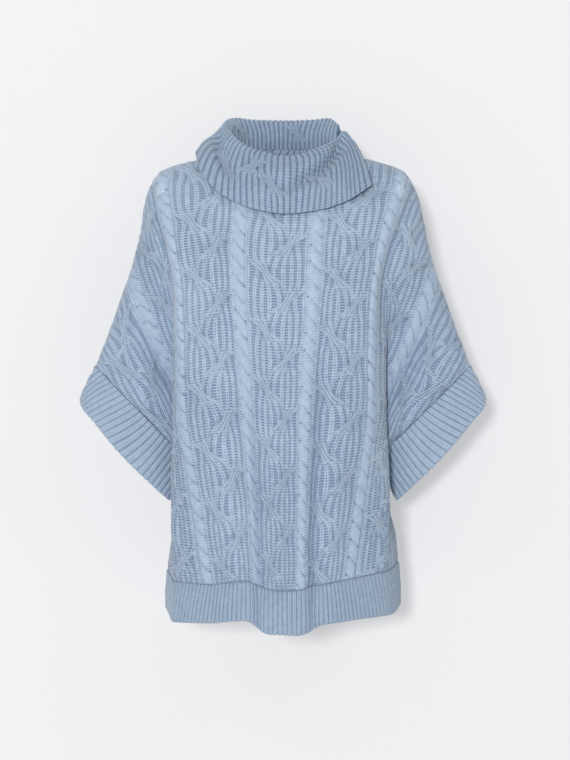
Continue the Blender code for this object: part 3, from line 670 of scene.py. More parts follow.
@dataclass(frozen=True)
class CableKnit(RibKnit):
    """Braids of nine ribs between ropes of two strands."""

    period: float = 85.0
    starts: tuple[float, ...] = (21.0, 35.0, 65.0, 95.0)  # first crossings, from mid panel out
    rope: Rope = Rope()

    def relief(self, across: Array, down: Array) -> Relief:
        """Give the whole cable pattern at wales and courses.

        Args:
            across: wales.
            down: courses.

        Returns:
            Relief of braids and ropes.
        """
        from_braid = np.mod(across + REPEAT / 2, REPEAT) - REPEAT / 2
        from_rope = np.mod(across, REPEAT) - REPEAT / 2
        braid = np.minimum(np.abs(np.round(across / REPEAT)), len(self.starts) - 1)
        first = np.array(self.starts)[braid.astype(int)]
        crossings = []
        for late, lean in ((0.0, 1), (0.5, -1)):
            since = (down - first) / self.period - late
            beat = (since - np.round(since)) * self.period
            crossings.append((-lean * self.half * RIB, beat, lean))
        return self.rope.laid(self.crossed(from_braid, crossings), from_rope, down)


# ---- walls
COARSE = 4  # points of the outer face to each of the lining, both ways
# the lining's crown: painted shade inside the garment
LINING_CROWN = 0.55


def grid_quads(across: int, down: int, first: int, closed: bool) -> Array:
    """Give the four corners of each cell of a grid, numbered from `first`.

    Args:
        across: rows of the grid.
        down: points a row.
        first: number of its first point.
        closed: whether the last row joins the first.

    Returns:
        Four point numbers a cell.
    """
    i = np.arange(across if closed else across - 1)[:, None]
    j = np.arange(down - 1)[None, :]
    here, beyond = i * down + j, ((i + 1) % across) * down + j
    return first + np.stack([here, here + 1, beyond + 1, beyond], axis=-1).reshape(-1, 4)


def rim_triangles(fine: Array, coarse: Array) -> Array:
    """Join a fine edge to a coarse one that has every fourth point.

    Each cell of the coarse edge has five triangles: two from each of its points to the fine
    edge, and one between.

    Args:
        fine: point numbers of the fine edge.
        coarse: point numbers of the coarse one.

    Returns:
        Three point numbers a triangle.
    """
    start, end = coarse[:-1], coarse[1:]
    step = [fine[k:len(fine) - COARSE + k:COARSE] for k in range(COARSE)] + [fine[COARSE::COARSE]]
    return np.concatenate([np.stack(corners, axis=1) for corners in (
        (step[1], step[0], start), (step[2], step[1], start), (start, end, step[2]),
        (step[3], step[2], end), (step[4], step[3], end))])


def two_faces(places: Array, outward: Array, relief: Relief, wall: float) -> tuple[Array, Array]:
    """Give a wall's outer face, raised by its relief, and its lining, a wall's thickness in.

    Args:
        places: grid of the cloth.
        outward: unit vectors.
        relief: height of the knit.
        wall: thickness.

    Returns:
        Places of the outer face and of the lining.
    """
    outer = places + outward * relief.height[..., None]
    return outer, (places - outward * wall)[::COARSE, ::COARSE].copy()


@dataclass
class KnitWall:
    """A closed wall: a fine outer face with its relief, and a lining four times coarser."""

    name: str
    outer: Array
    lining: Array
    relief: Relief
    course: Array
    closed: bool = False
    turned: bool = False

    def mesh(self) -> bpy.types.Mesh:
        """Build the wall's mesh, with its yarn map and its turn, crown and gape.

        Returns:
            The mesh, in metres.
        """
        points = np.concatenate([self.outer.reshape(-1, 3), self.lining.reshape(-1, 3)])
        mesh = bpy.data.meshes.new(self.name)
        mesh.from_pydata(points * MILLIMETRE, [], self._faces())
        self._write_yarn(mesh)
        self._write_attributes(mesh)
        mesh.shade_smooth()
        return mesh

    def _faces(self) -> list[list[int]]:
        """Give the corners of both faces' quads, and of the rims' triangles between them.

        Returns:
            Point numbers of each face.
        """
        (n, m), (p, q) = self.outer.shape[:2], self.lining.shape[:2]
        outer = np.arange(n * m).reshape(n, m)
        lining = n * m + np.arange(p * q).reshape(p, q)
        parts = [grid_quads(n, m, 0, self.closed), grid_quads(p, q, n * m, self.closed)[:, ::-1]]
        if self.closed:
            outer, lining = (np.concatenate([ids, ids[:1]]) for ids in (outer, lining))
        parts.append(rim_triangles(outer[:, 0], lining[:, 0])[:, ::-1])
        parts.append(rim_triangles(outer[:, -1], lining[:, -1]))
        if not self.closed:
            parts.append(rim_triangles(outer[0], lining[0]))
            parts.append(rim_triangles(outer[-1], lining[-1])[:, ::-1])
        order = -1 if self.turned else 1
        return [face for part in parts for face in part[:, ::order].tolist()]

    def _write_yarn(self, mesh: bpy.types.Mesh) -> None:
        """Write each corner's wale and course into the mesh's yarn map.

        Args:
            mesh: the wall's mesh.
        """
        yarn = np.stack([self.relief.wale, self.course], axis=-1)
        stitches = np.concatenate([yarn.reshape(-1, 2), yarn[::COARSE, ::COARSE].reshape(-1, 2)])
        corners = np.empty(len(mesh.loops), dtype=np.int32)
        mesh.loops.foreach_get("vertex_index", corners)
        layer = mesh.uv_layers.new(name="yarn")
        layer.data.foreach_set("uv", stitches[corners].astype(np.float32).ravel())

    def _write_attributes(self, mesh: bpy.types.Mesh) -> None:
        """Write each point's turn about its rib, as cosine and sine, and its crown and gape.

        Args:
            mesh: the wall's mesh.
        """
        turn = 2 * np.pi * self.relief.wale.ravel()
        circle = np.zeros((len(mesh.vertices), 3), np.float32)
        circle[:turn.size, :2] = np.stack([np.cos(turn), np.sin(turn)], axis=-1)
        written = mesh.attributes.new("turn", "FLOAT_VECTOR", "POINT")
        written.data.foreach_set("vector", circle.ravel())
        within = len(mesh.vertices) - turn.size
        for name, outside, inside in (("crown", self.relief.crown, LINING_CROWN),
                                      ("gape", self.relief.gape, 0.0)):
            values = np.concatenate([outside.ravel(), np.full(within, inside)])
            written = mesh.attributes.new(name, "FLOAT", "POINT")
            written.data.foreach_set("value", values.astype(np.float32))


# ---- shader expressions
Operand = Union["Tone", float]
Colour = tuple[float, float, float, float]


def operator(operation: str, flipped: bool = False) -> Callable[["Tone", Operand], "Tone"]:
    """Give an operator of Tone, which adds a Math node. Flipped, its tone comes second.

    Args:
        operation: the Math node's operation.
        flipped: whether the tone is the second operand.

    Returns:
        A method for Tone.
    """

    def apply(tone: "Tone", other: Operand) -> "Tone":
        """Add the node on a tone and another operand."""
        operands = (other, tone) if flipped else (tone, other)
        return tone.nodes.maths(operation, *operands)

    return apply


class Tone:
    """A number that varies over a surface: one output socket, with arithmetic."""

    def __init__(self, nodes: "Nodes", socket: bpy.types.NodeSocket) -> None:
        """Wrap a socket of a tree."""
        self.nodes = nodes
        self.socket = socket

    __add__ = __radd__ = operator("ADD")
    __mul__ = __rmul__ = operator("MULTIPLY")
    __sub__ = operator("SUBTRACT")
    __rsub__ = operator("SUBTRACT", flipped=True)
    __truediv__ = operator("DIVIDE")

    def fraction(self) -> "Tone":
        """Give what is over the whole number below."""
        return self.nodes.maths("FRACT", self)

    def size(self) -> "Tone":
        """Give the absolute value."""
        return self.nodes.maths("ABSOLUTE", self)

    def wave(self) -> "Tone":
        """Give a wave from 0 to 1 that returns with every whole number: a raised sine."""
        return self.nodes.maths("SINE", self * (2 * math.pi)) * 0.5 + 0.5

    def clamped(self) -> "Tone":
        """Keep the value from 0 to 1."""
        return self.nodes.maths("MINIMUM", self.nodes.maths("MAXIMUM", self, 0.0), 1.0)

    def step(self, start: float, end: float) -> "Tone":
        """Give a soft step from 0 at start to 1 at end."""
        node = self.nodes.add("ShaderNodeMapRange", {"interpolation_type": "SMOOTHSTEP"},
                              {"Value": self, "From Min": start, "From Max": end})
        return Tone(self.nodes, node.outputs["Result"])


class Nodes:
    """A material's node tree, with one method that adds any node."""

    def __init__(self, material: bpy.types.Material) -> None:
        """Start on an empty tree.

        Args:
            material: what the tree is for.
        """
        material.use_nodes = True
        self.tree = material.node_tree
        self.tree.nodes.clear()

    def add(self, kind: str, settings: dict[str, Any], sockets: dict[Any, Any]) -> bpy.types.Node:
        """Add a node.

        Args:
            kind: the node's type.
            settings: its properties, set first.
            sockets: values, tones or sockets for its inputs, by name or number.

        Returns:
            The node.
        """
        node = self.tree.nodes.new(kind)
        for name, value in settings.items():
            setattr(node, name, value)
        for name, value in sockets.items():
            source = value.socket if isinstance(value, Tone) else value
            if isinstance(source, bpy.types.NodeSocket):
                self.tree.links.new(source, node.inputs[name])
            else:
                node.inputs[name].default_value = value
        return node

    def maths(self, operation: str, *operands: Operand) -> Tone:
        """Add a Math node on operands, which may be numbers or tones."""
        node = self.add("ShaderNodeMath", {"operation": operation}, dict(enumerate(operands)))
        return Tone(self, node.outputs[0])

    def attribute(self, name: str, output: str) -> bpy.types.NodeSocket:
        """Add one of the mesh's attributes and give an output of it."""
        return self.add("ShaderNodeAttribute", {"attribute_name": name}, {}).outputs[output]

    def pair(self, vector: bpy.types.NodeSocket) -> tuple[Tone, Tone]:
        """Give the first two numbers of a vector."""
        split = self.add("ShaderNodeSeparateXYZ", {}, {0: vector})
        return Tone(self, split.outputs[0]), Tone(self, split.outputs[1])

    def noise(self, place: bpy.types.NodeSocket, scale: float, detail: float) -> Tone:
        """Add noise over places, of about scale waves a metre."""
        node = self.add("ShaderNodeTexNoise", {},
                        {"Vector": place, "Scale": scale, "Detail": detail})
        return Tone(self, node.outputs["Fac"])

    def blend(self, factor: Operand, first: Any, second: Any) -> bpy.types.NodeSocket:
        """Mix two colours by a factor."""
        node = self.add("ShaderNodeMix", {"data_type": "RGBA"}, {0: factor, 6: first, 7: second})
        return node.outputs[2]


@dataclass(frozen=True)
class WoolFinish:
    """Soft matt yarn, knitted so that each rib shows two legs of stitches.

    Places aside of a crest are shares of the way from there to mid gutter. Depths of colour
    go from 0, the light colour, to 1, the deep one. The dark loops, dots and lines of the
    stitches are painted shade in their hollows, and a crown under 1 adds painted shade.
    """

    name: str
    light: Colour
    deep: Colour
    pale: Colour = (0.80, 0.86, 0.86, 1.0)  # pale flecks, where the crown is over 1.3
    stitch_depth: float = 0.0009
    arch: float = 1.8  # stitches that a loop drops from mid gutter, over the square of its share
    depth: float = 0.8  # of the stitches' painted shade as a whole
    loops: float = 1.0  # of it, in the loops
    lines: float = 0.05  # and in the gutters as a whole
    gutter: float = 0.36  # where gutters start
    gutter_run: float = 0.24
    groove: tuple[float, float] = (0.02, 0.24)  # where the groove on a crest starts and ends
    groove_depth: float = 0.2
    bead_depth: float = 0.4  # of the dots in it
    line: tuple[float, float] = (0.45, 0.9)  # where the line between pressed ribs starts, is full
    line_depth: float = 0.7
    jitter: float = 0.3  # stitches by which a stitch strays, over the mottle
    bead_start: float = 0.3  # stitches from a loop to a bead
    leg_start: float = 0.5
    leg_slant: float = 1.2  # stitches by which a leg slants, from a crest to mid gutter
    leg_pressed: float = 0.4  # share of the legs' colour where ribs don't gape
    leg_shade_share: tuple[float, float] = (0.3, 0.2)  # share of the legs' painted shade in mottled patches, and all over
    patches: tuple[float, float] = (1.6, 0.25)  # stitches' strength in a patch, and all over
    tone: float = 0.06  # depth all over
    shade: float = 0.8  # depth of painted shade where the crown is 0
    mottling: float = 0.35
    fuzziness: float = 0.3
    bump: float = 0.8
    roughness: float = 0.9
    sheen: float = 0.25

    def material(self) -> bpy.types.Material:
        """Build the wool.

        How far a place is aside of its rib's crest, from 0 to 1 in mid gutter, is the size of
        the angle of its `turn`, over pi. Where ribs don't gape, and on the lining, it is the
        distance of the yarn map's wale from a whole number. A crest is two pale lines with a
        row of dark dots between them. Loops arch over open gutters, deep in colour under each,
        and ribs that are pressed together have a dark line between them. These dark dots, loops
        and lines are painted shade in the stitches' hollows, and the crown adds painted shade
        in gutters, folds and dips and towards the arms and hem.

        Returns:
            The material, made once a name.
        """
        name = "wool_" + self.name
        if name in bpy.data.materials:
            return bpy.data.materials[name]
        material = bpy.data.materials.new(name)
        nodes = Nodes(material)
        yarn = nodes.add("ShaderNodeUVMap", {"uv_map": "yarn"}, {})
        wale, course = nodes.pair(yarn.outputs[0])
        cosine, sine = nodes.pair(nodes.attribute("turn", "Vector"))
        crown = Tone(nodes, nodes.attribute("crown", "Fac"))
        gape = Tone(nodes, nodes.attribute("gape", "Fac"))
        place = nodes.add("ShaderNodeTexCoord", {}, {}).outputs["Object"]
        fuzz = nodes.noise(place, 900.0, 3.0)
        mottle = nodes.noise(place, 130.0, 4.0)
        patch = nodes.noise(place, 9.0, 2.0)

        angle = nodes.maths("ARCTAN2", sine, cosine).size() / math.pi
        plain = ((wale + 0.5).fraction() - 0.5).size() * 2.0
        aside = angle * gape + plain * (1.0 - gape)
        beneath = 1.0 - aside
        jitter = (mottle - 0.5) * self.jitter
        loop = (course - beneath * beneath * self.arch + jitter).wave()
        bead = (course + self.bead_start + jitter).wave()
        leg = (course + aside * self.leg_slant + self.leg_start + jitter).wave()
        groove = 1.0 - aside.step(*self.groove)
        gutter = aside.step(self.gutter, self.gutter + self.gutter_run)
        line = aside.step(*self.line) * (1.0 - gape).step(0.0, 0.5)
        opened = gutter * gape

        strength = (patch * self.patches[0] + self.patches[1]) * self.depth
        shade = opened * ((1.0 - loop) * self.loops + self.lines) + line * self.line_depth
        shade = shade + groove * (self.groove_depth + bead * self.bead_depth * self.loops)
        # share of the legs' painted shade, which varies in mottled patches
        worn = mottle.step(0.3, 0.7) * self.leg_shade_share[0] + self.leg_shade_share[1]
        eased = gape * (1 - self.leg_pressed) + self.leg_pressed
        shade = shade + (1.0 - gutter) * (1.0 - leg) * self.loops * eased * worn
        shade = shade * strength
        # painted shade where the crown is under 1, with the yarn's random mottle and fuzz
        shade = (shade + (1.0 - crown.clamped()) * self.shade
                 + (mottle - 0.5) * self.mottling + (fuzz - 0.5) * self.fuzziness)
        wool = nodes.blend((shade + self.tone).clamped(), self.light, self.deep)
        fleck = (crown - 1.3).step(0.0, 0.1) * loop.step(0.75, 0.9) * mottle.step(0.52, 0.56)
        colour = nodes.blend(fleck * 0.8, wool, self.pale)

        height = (loop * opened * 0.8 + leg * (1.0 - gutter) * 0.3 - groove * 0.5 - line
                  + fuzz * 0.5)
        bump = nodes.add("ShaderNodeBump", {}, {"Height": height, "Strength": self.bump,
                                                "Distance": self.stitch_depth})
        shader = nodes.add("ShaderNodeBsdfPrincipled", {}, {
            "Base Color": colour, "Roughness": self.roughness, "Normal": bump.outputs[0],
            "Sheen Weight": self.sheen, "Sheen Roughness": 0.5, "Specular IOR Level": 0.2})
        nodes.add("ShaderNodeOutputMaterial", {}, {"Surface": shader.outputs[0]})
        return material


def stood(name: str, data: bpy.types.ID) -> bpy.types.Object:
    """Put a mesh, a lamp or a camera into the scene.

    Args:
        name: the object's name.
        data: what it shows.

    Returns:
        The object.
    """
    thing = bpy.data.objects.new(name, data)
    bpy.context.scene.collection.objects.link(thing)
    return thing


def finished(wall: KnitWall, finish: WoolFinish) -> bpy.types.Object:
    """Make a wall into a piece of the garment.

    Args:
        wall: the knitted wall.
        finish: its wool.

    Returns:
        The piece, which stands for the frame's node of the same name.
    """
    piece = stood("knit_" + wall.name, wall.mesh())
    piece.data.materials.append(finish.material())
    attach(piece, "root")
    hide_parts(wall.name)
    return piece


# ---- front and back
@dataclass(frozen=True)
class Panel:
    """The front or the back: the worn cloth under its cables."""

    name: str
    side: Side
    wales: tuple[Wale, ...]
    folds: tuple[Fold, ...]
    hem: tuple[HemPlace, ...]
    finish: WoolFinish
    knit: CableKnit = CableKnit()
    columns: int = 369
    rows: int = 245
    wall: float = 2.6
    flat: tuple[float, float] = (0.77, 0.67)
    parting: float = 0.15  # from the plane between front and back
    sway_stop: Ramp = Ramp(165.0, 70.0)  # wales over which the sway dies out
    seam_fade: Ramp = Ramp(0.0, 11.0, 0.8, least=0.2)  # share of the relief beside a seam
    arm_fold: Swell = Swell(245.0, 30.0, 0.85)  # how far cables are pressed under the arm
    arm_fold_top: Ramp = Ramp(250.0, 60.0)
    crowd: Ramp = Ramp(400.0, 80.0, 1.2)  # how much closer the outer braid's ribs stand below
    crowd_start: float = 168.0
    crowd_width: float = 35.0
    fold_shade: float = 0.028  # painted shade in a fold: crown lost for each millimetre of its depth
    fold_most: float = 9.0
    wing_shade: Ramp = Ramp(170.0, 60.0, 0.12)  # painted shade: crown lost towards the arms
    low_shade: Ramp = Ramp(120.0, 420.0, 0.11)  # painted shade: crown lost towards the hem
    holes: Swell = Swell(152.0, 1.8)  # wale of painted shade in holes, where the cloth is pulled open beside its rope
    holes_top: Ramp = Ramp(110.0, 40.0)
    holes_foot: Ramp = Ramp(460.0, -60.0)
    holes_shade: float = 0.4
    flecks: tuple[Swell, Swell] = (Swell(167.0, 7.0), Swell(70.0, 9.0))  # on the shoulders
    fleck_least: float = 0.3
    foot_step: float = 0.004  # share of a wale over which its direction at the foot is read

    def top(self, across: Array) -> Array:
        """Give the first course at each wale."""
        return read(self.wales, "across", "top", np.abs(across))

    def foot(self, across: Array) -> Array:
        """Give the last course at each wale."""
        return read(self.wales, "across", "foot", np.abs(across))

    def courses(self, across: Array, share: Array) -> Array:
        """Give courses at wales and shares of the way from top to foot, as a grid."""
        top = self.top(across)[:, None]
        return top + share[None, :] * (self.foot(across)[:, None] - top)

    def cloth(self, across: Array, share: Array) -> Array:
        """Give the grid of places of the outer face under its cables.

        Each wale of the table is a smooth curve down its places. The curves are read at the
        shares, and smooth curves across them are read at the wales. The cloth's sway, the
        lift of the hem, which grows with the cube of the share, and the folds are added.

        Args:
            across: wales.
            share: shares of the way down each wale.

        Returns:
            Places in millimetres, one row a wale.
        """
        knots = column_of(self.wales, "across")
        curves = np.array([along_places(wale.places, share) for wale in self.wales])
        mirrored = np.concatenate([curves[:0:-1] * (-1, 1, 1), curves])
        knots = np.concatenate([-knots[:0:-1], knots])
        flat = through(knots, mirrored.reshape(len(knots), -1), across)
        places = flat.reshape(len(across), len(share), 3)
        down = self.courses(across, share)
        hold = 1.0 - self.sway_stop.at(np.abs(across))
        places[..., 0] += hold[:, None] * read(SWAYS, "down", "shift", down)
        lift = read(self.hem, "across", "lift", across)
        places[..., 2] += lift[:, None] * share[None, :] ** 3
        wide = np.broadcast_to(across[:, None], down.shape)
        places[..., 1] -= self.side.value * fold_depth(self.folds, wide, down)
        return places

    def parted(self, places: Array) -> Array:
        """Keep places just clear of the plane between front and back.

        Args:
            places: places of the panel, which are changed.

        Returns:
            The same places.
        """
        side = self.side.value
        places[..., 1] = side * np.maximum(side * places[..., 1], self.parting)
        return places

    def foot_frame(self, across: Array) -> tuple[Array, Array]:
        """Give the places of the foot and the directions straight out of the cloth there.

        Args:
            across: wales.

        Returns:
            Places and unit vectors.
        """
        strip = self.cloth(across, np.array([1.0 - self.foot_step, 1.0]))
        below = unit(strip[:, 1] - strip[:, 0])
        along = np.gradient(strip[:, 1], axis=0)
        return strip[:, 1], unit(np.cross(below, along) * -self.side.value)

    def level(self, across: Array, places: Array) -> Array:
        """Give the course of each place, counted up its wale from the foot: foot less reach.

        Args:
            across: wales.
            places: grid of the cloth.

        Returns:
            One course a place.
        """
        steps = np.linalg.norm(np.diff(places[:, ::-1], axis=1), axis=-1)
        reach = np.concatenate([np.zeros((len(across), 1)), np.cumsum(steps, axis=1)], axis=1)
        return self.foot(across)[:, None] - reach[:, ::-1]

    def relief(self, across: Array, down: Array, level: Array) -> Relief:
        """Give the cables over the grid.

        The relief fades beside seams and is pressed in the arm's fold. The crown, painted into
        the wool as shade, is less in folds, towards arms and hem, and at the holes, and over 1 at
        the front's pale flecks.

        Args:
            across: wale of each place.
            down: its course, by the tables.
            level: its course, counted up the cloth from the foot.

        Returns:
            The relief.
        """
        size = np.abs(across)
        crowd = self.crowd.at(down) * np.clip(size - self.crowd_start, 0.0, self.crowd_width)
        relief = self.knit.relief(across + np.sign(across) * crowd, level)
        inside = np.minimum(down - self.top(across[:, 0])[:, None],
                            self.foot(across[:, 0])[:, None] - down)
        pressed = self.arm_fold.at(size) * self.arm_fold_top.at(down)
        relief.height = (relief.height * unevenness(across, down) * self.seam_fade.at(inside)
                         * (1.0 - pressed))
        folds = np.clip(fold_depth(self.folds, across, down), 0.0, self.fold_most)
        holes = self.holes.at(size) * self.holes_top.at(down)
        # painted shade: less crown in folds, in the holes, towards the arms and towards the hem
        relief.crown = (relief.crown - self.fold_shade * folds
                        - self.holes_shade * holes * self.holes_foot.at(down)
                        - self.wing_shade.at(size) - self.low_shade.at(down))
        if self.side is Side.FRONT:
            thin = self.flecks[0].at(size) * self.flecks[1].at(down)
            relief.crown = np.where(thin > self.fleck_least, 1.0 + thin, relief.crown)
        return relief

    def build(self) -> bpy.types.Object:
        """Build the panel.

        Returns:
            The finished piece.
        """
        across = np.linspace(-CUFF_TOP, CUFF_TOP, self.columns)
        share = np.linspace(0.0, 1.0, self.rows)
        places, down = self.cloth(across, share), self.courses(across, share)
        outward = normals(places, -self.side.value)
        level = self.level(across, places)
        relief = self.relief(np.broadcast_to(across[:, None], down.shape), down, level)
        outer, lining = map(self.parted, two_faces(places, outward, relief, self.wall))
        wall = KnitWall(self.name, outer, lining, relief, level / STITCH,
                        turned=self.side is Side.BACK)
        area = area_under(self.foot(across) - self.top(across), across)
        return finished(wall, self.finish)


# ---- bands
@dataclass(frozen=True)
class BandEnds:
    """How a band's ribs swell in a row of bumps at its seam and thin out at its edge."""

    bumps: Swell
    tuck: float = 0.0  # how far the edge goes in
    thin: float = 0.2  # share of the relief at the edge
    crown: float = 1.0  # share of the ribs' own crown; under 1, painted shade over the band
    seam_crown: Ramp = Ramp(0.0, 3.0, 0.15, least=0.85)  # and of that, below the seam, for painted shade there
    edge: Ramp = Ramp(0.0, 2.2)

    def dress(self, relief: Relief, down: Array, length: Array) -> None:
        """Work the ends into a relief.

        Args:
            relief: the band's ribs.
            down: distance of each place from the seam.
            length: distance of the free edge from the seam.
        """
        edge = self.edge.at(length - down)
        share = self.thin + (1.0 - self.thin) * edge
        height = relief.height * (1.0 + self.bumps.at(down)) * share
        relief.height = height - (1.0 - edge) * self.tuck
        # painted shade just below the seam, and over the whole band where crown is under 1
        relief.crown = relief.crown * self.seam_crown.at(down) * self.crown


# ---- hem
@dataclass(frozen=True)
class HemBand:
    """Half of the ribbed hem, sewn under a panel's foot."""

    name: str
    panel: Panel
    finish: WoolFinish
    knit: RibKnit = RibKnit(rib_height=1.1, power=0.6, base=0.7)
    # the hem's crown of 0.87 is painted shade over the whole band
    ends: BandEnds = BandEnds(Swell(3.0, 2.5, 0.4), tuck=0.6, crown=0.87)
    ribs: int = 76
    per_rib: int = 8
    rows: int = 33
    wall: float = 2.6
    flat: tuple[float, float] = (0.55, 0.067)
    flare: float = 3.0
    bow: float = 1.5
    fan: Ramp = Ramp(60.0, 215.0, 2.4)  # ribs by which a rib's top stands further in at the sides
    gap: float = 0.3

    def build(self) -> bpy.types.Object:
        """Build the band: straight lines from the seam to the free edge, slightly bowed.

        Returns:
            The finished piece.
        """
        count = self.ribs * self.per_rib + 1
        across = np.linspace(-HEM_CORNER, HEM_CORNER, count)
        seam, outward = self.panel.foot_frame(across)
        heights = read(self.panel.hem, "across", "height", across)
        level = outward * (1, 1, 0)
        level[[0, -1]] = level[[0, -1]] * (1, 0, 0)
        level = unit(level)
        drop = np.array([0.0, 0.0, -1.0])
        fall = np.linspace(0.0, 1.0, self.rows)
        start = seam + drop * self.gap
        end = seam + drop * heights[:, None] + level * self.flare
        places = start[:, None] + (end - start)[:, None] * fall[None, :, None]
        places += level[:, None] * (self.bow * np.sin(np.pi * fall))[None, :, None]
        reach = reach_along(end)
        fan = (np.sign(across) * self.fan.at(np.abs(across)))[:, None]
        wale = (reach / reach[-1] * self.ribs)[:, None] + fan * (1.0 - fall[None, :])
        relief = self.knit.ribs(wale)
        down = fall[None, :] * heights[:, None]
        self.ends.dress(relief, down, heights[:, None])
        outer, lining = two_faces(places, level[:, None], relief, self.wall)
        outer[:, -1, 2] -= TIP * crest(wale[:, -1])
        outer, lining = self.panel.parted(outer), self.panel.parted(lining)
        wall = KnitWall(self.name, outer, lining, relief, down / STITCH,
                        turned=self.panel.side is Side.BACK)
        return finished(wall, self.finish)


# ---- cuffs
@dataclass(frozen=True)
class Cuff:
    """A ribbed cuff, sewn round the edge of a wing.

    Its ring starts on top of the arm, runs down the front and comes up the back.
    """

    name: str
    arm: Arm
    panels: tuple[Panel, Panel]
    finish: WoolFinish
    knit: RibKnit = RibKnit(rib_height=1.5, power=0.6, base=0.5)
    ends: BandEnds = BandEnds(Swell(2.0, 2.0, 0.5))
    ribs: int = 46
    per_rib: int = 10
    rows: int = 33
    wall: float = 2.6
    flat: tuple[float, float] = (0.40, 0.062)
    gap: float = 0.6
    bow: float = 1.2
    lean: float = 0.055  # of the ring, how far a rib leans up the arm at the front
    seam_wales: int = 120  # read along each panel's edge

    def seam(self, turn: Array) -> Array:
        """Give the cuff seam at shares round the ring, evenly along each panel's edge.

        Args:
            turn: shares round the ring.

        Returns:
            One place a share.
        """
        turn = np.mod(turn, 1.0)
        places = np.zeros((len(turn), 3))
        wales = np.linspace(CUFF_TOP, UNDERARM, self.seam_wales) * self.arm.value
        for panel, share, here in ((self.panels[0], 2 * turn, turn < 0.5),
                                   (self.panels[1], 2 - 2 * turn, turn >= 0.5)):
            top = panel.cloth(wales[:1], np.array([0.0]))[:, 0]
            foot = panel.cloth(wales, np.array([1.0]))[:, 0]
            chain = np.concatenate([top, foot])
            reach = reach_along(chain)
            for axis in range(3):
                places[here, axis] = np.interp(share[here] * reach[-1], reach, chain[:, axis])
        return places

    def edge(self, turn: Array) -> Array:
        """Give the free edge at shares round the ring.

        Args:
            turn: shares round the ring.

        Returns:
            One place a share.
        """
        turn = np.mod(turn, 1.0)
        share = np.where(turn < 0.5, 2 * turn, 2 - 2 * turn)
        places = read(CUFF_EDGE, "share", "place", share)
        places[:, 0] *= self.arm.value
        places[turn >= 0.5, 1] *= -1
        return places

    def build(self) -> bpy.types.Object:
        """Build the cuff between its seam and its edge, with ribs that lean round the ring.

        Returns:
            The finished piece.
        """
        count = self.ribs * self.per_rib
        turn = np.arange(count) / count
        fall = np.linspace(0.0, 1.0, self.rows)
        leant = (turn[:, None] - self.lean * fall[None, :]).ravel()
        start = self.seam(leant).reshape(count, self.rows, 3)
        end = self.edge(leant).reshape(count, self.rows, 3)
        way = unit(end - start)
        start = start + way * self.gap
        places = start + (end - start) * fall[None, :, None]
        outward = normals(places, -self.arm.value, closed=True)
        places = places + outward * (self.bow * np.sin(np.pi * fall))[None, :, None]
        wale = np.broadcast_to((turn * self.ribs)[:, None], places.shape[:2])
        relief = self.knit.ribs(wale)
        length = np.linalg.norm(end - start, axis=-1)
        down = fall[None, :] * length
        self.ends.dress(relief, down, length)
        outer, lining = two_faces(places, outward, relief, self.wall)
        outer[:, -1] += way[:, -1] * TIP * crest(wale[:, -1:])
        wall = KnitWall(self.name, outer, lining, relief, down / STITCH, closed=True,
                        turned=self.arm is Arm.RIGHT)
        return finished(wall, self.finish)


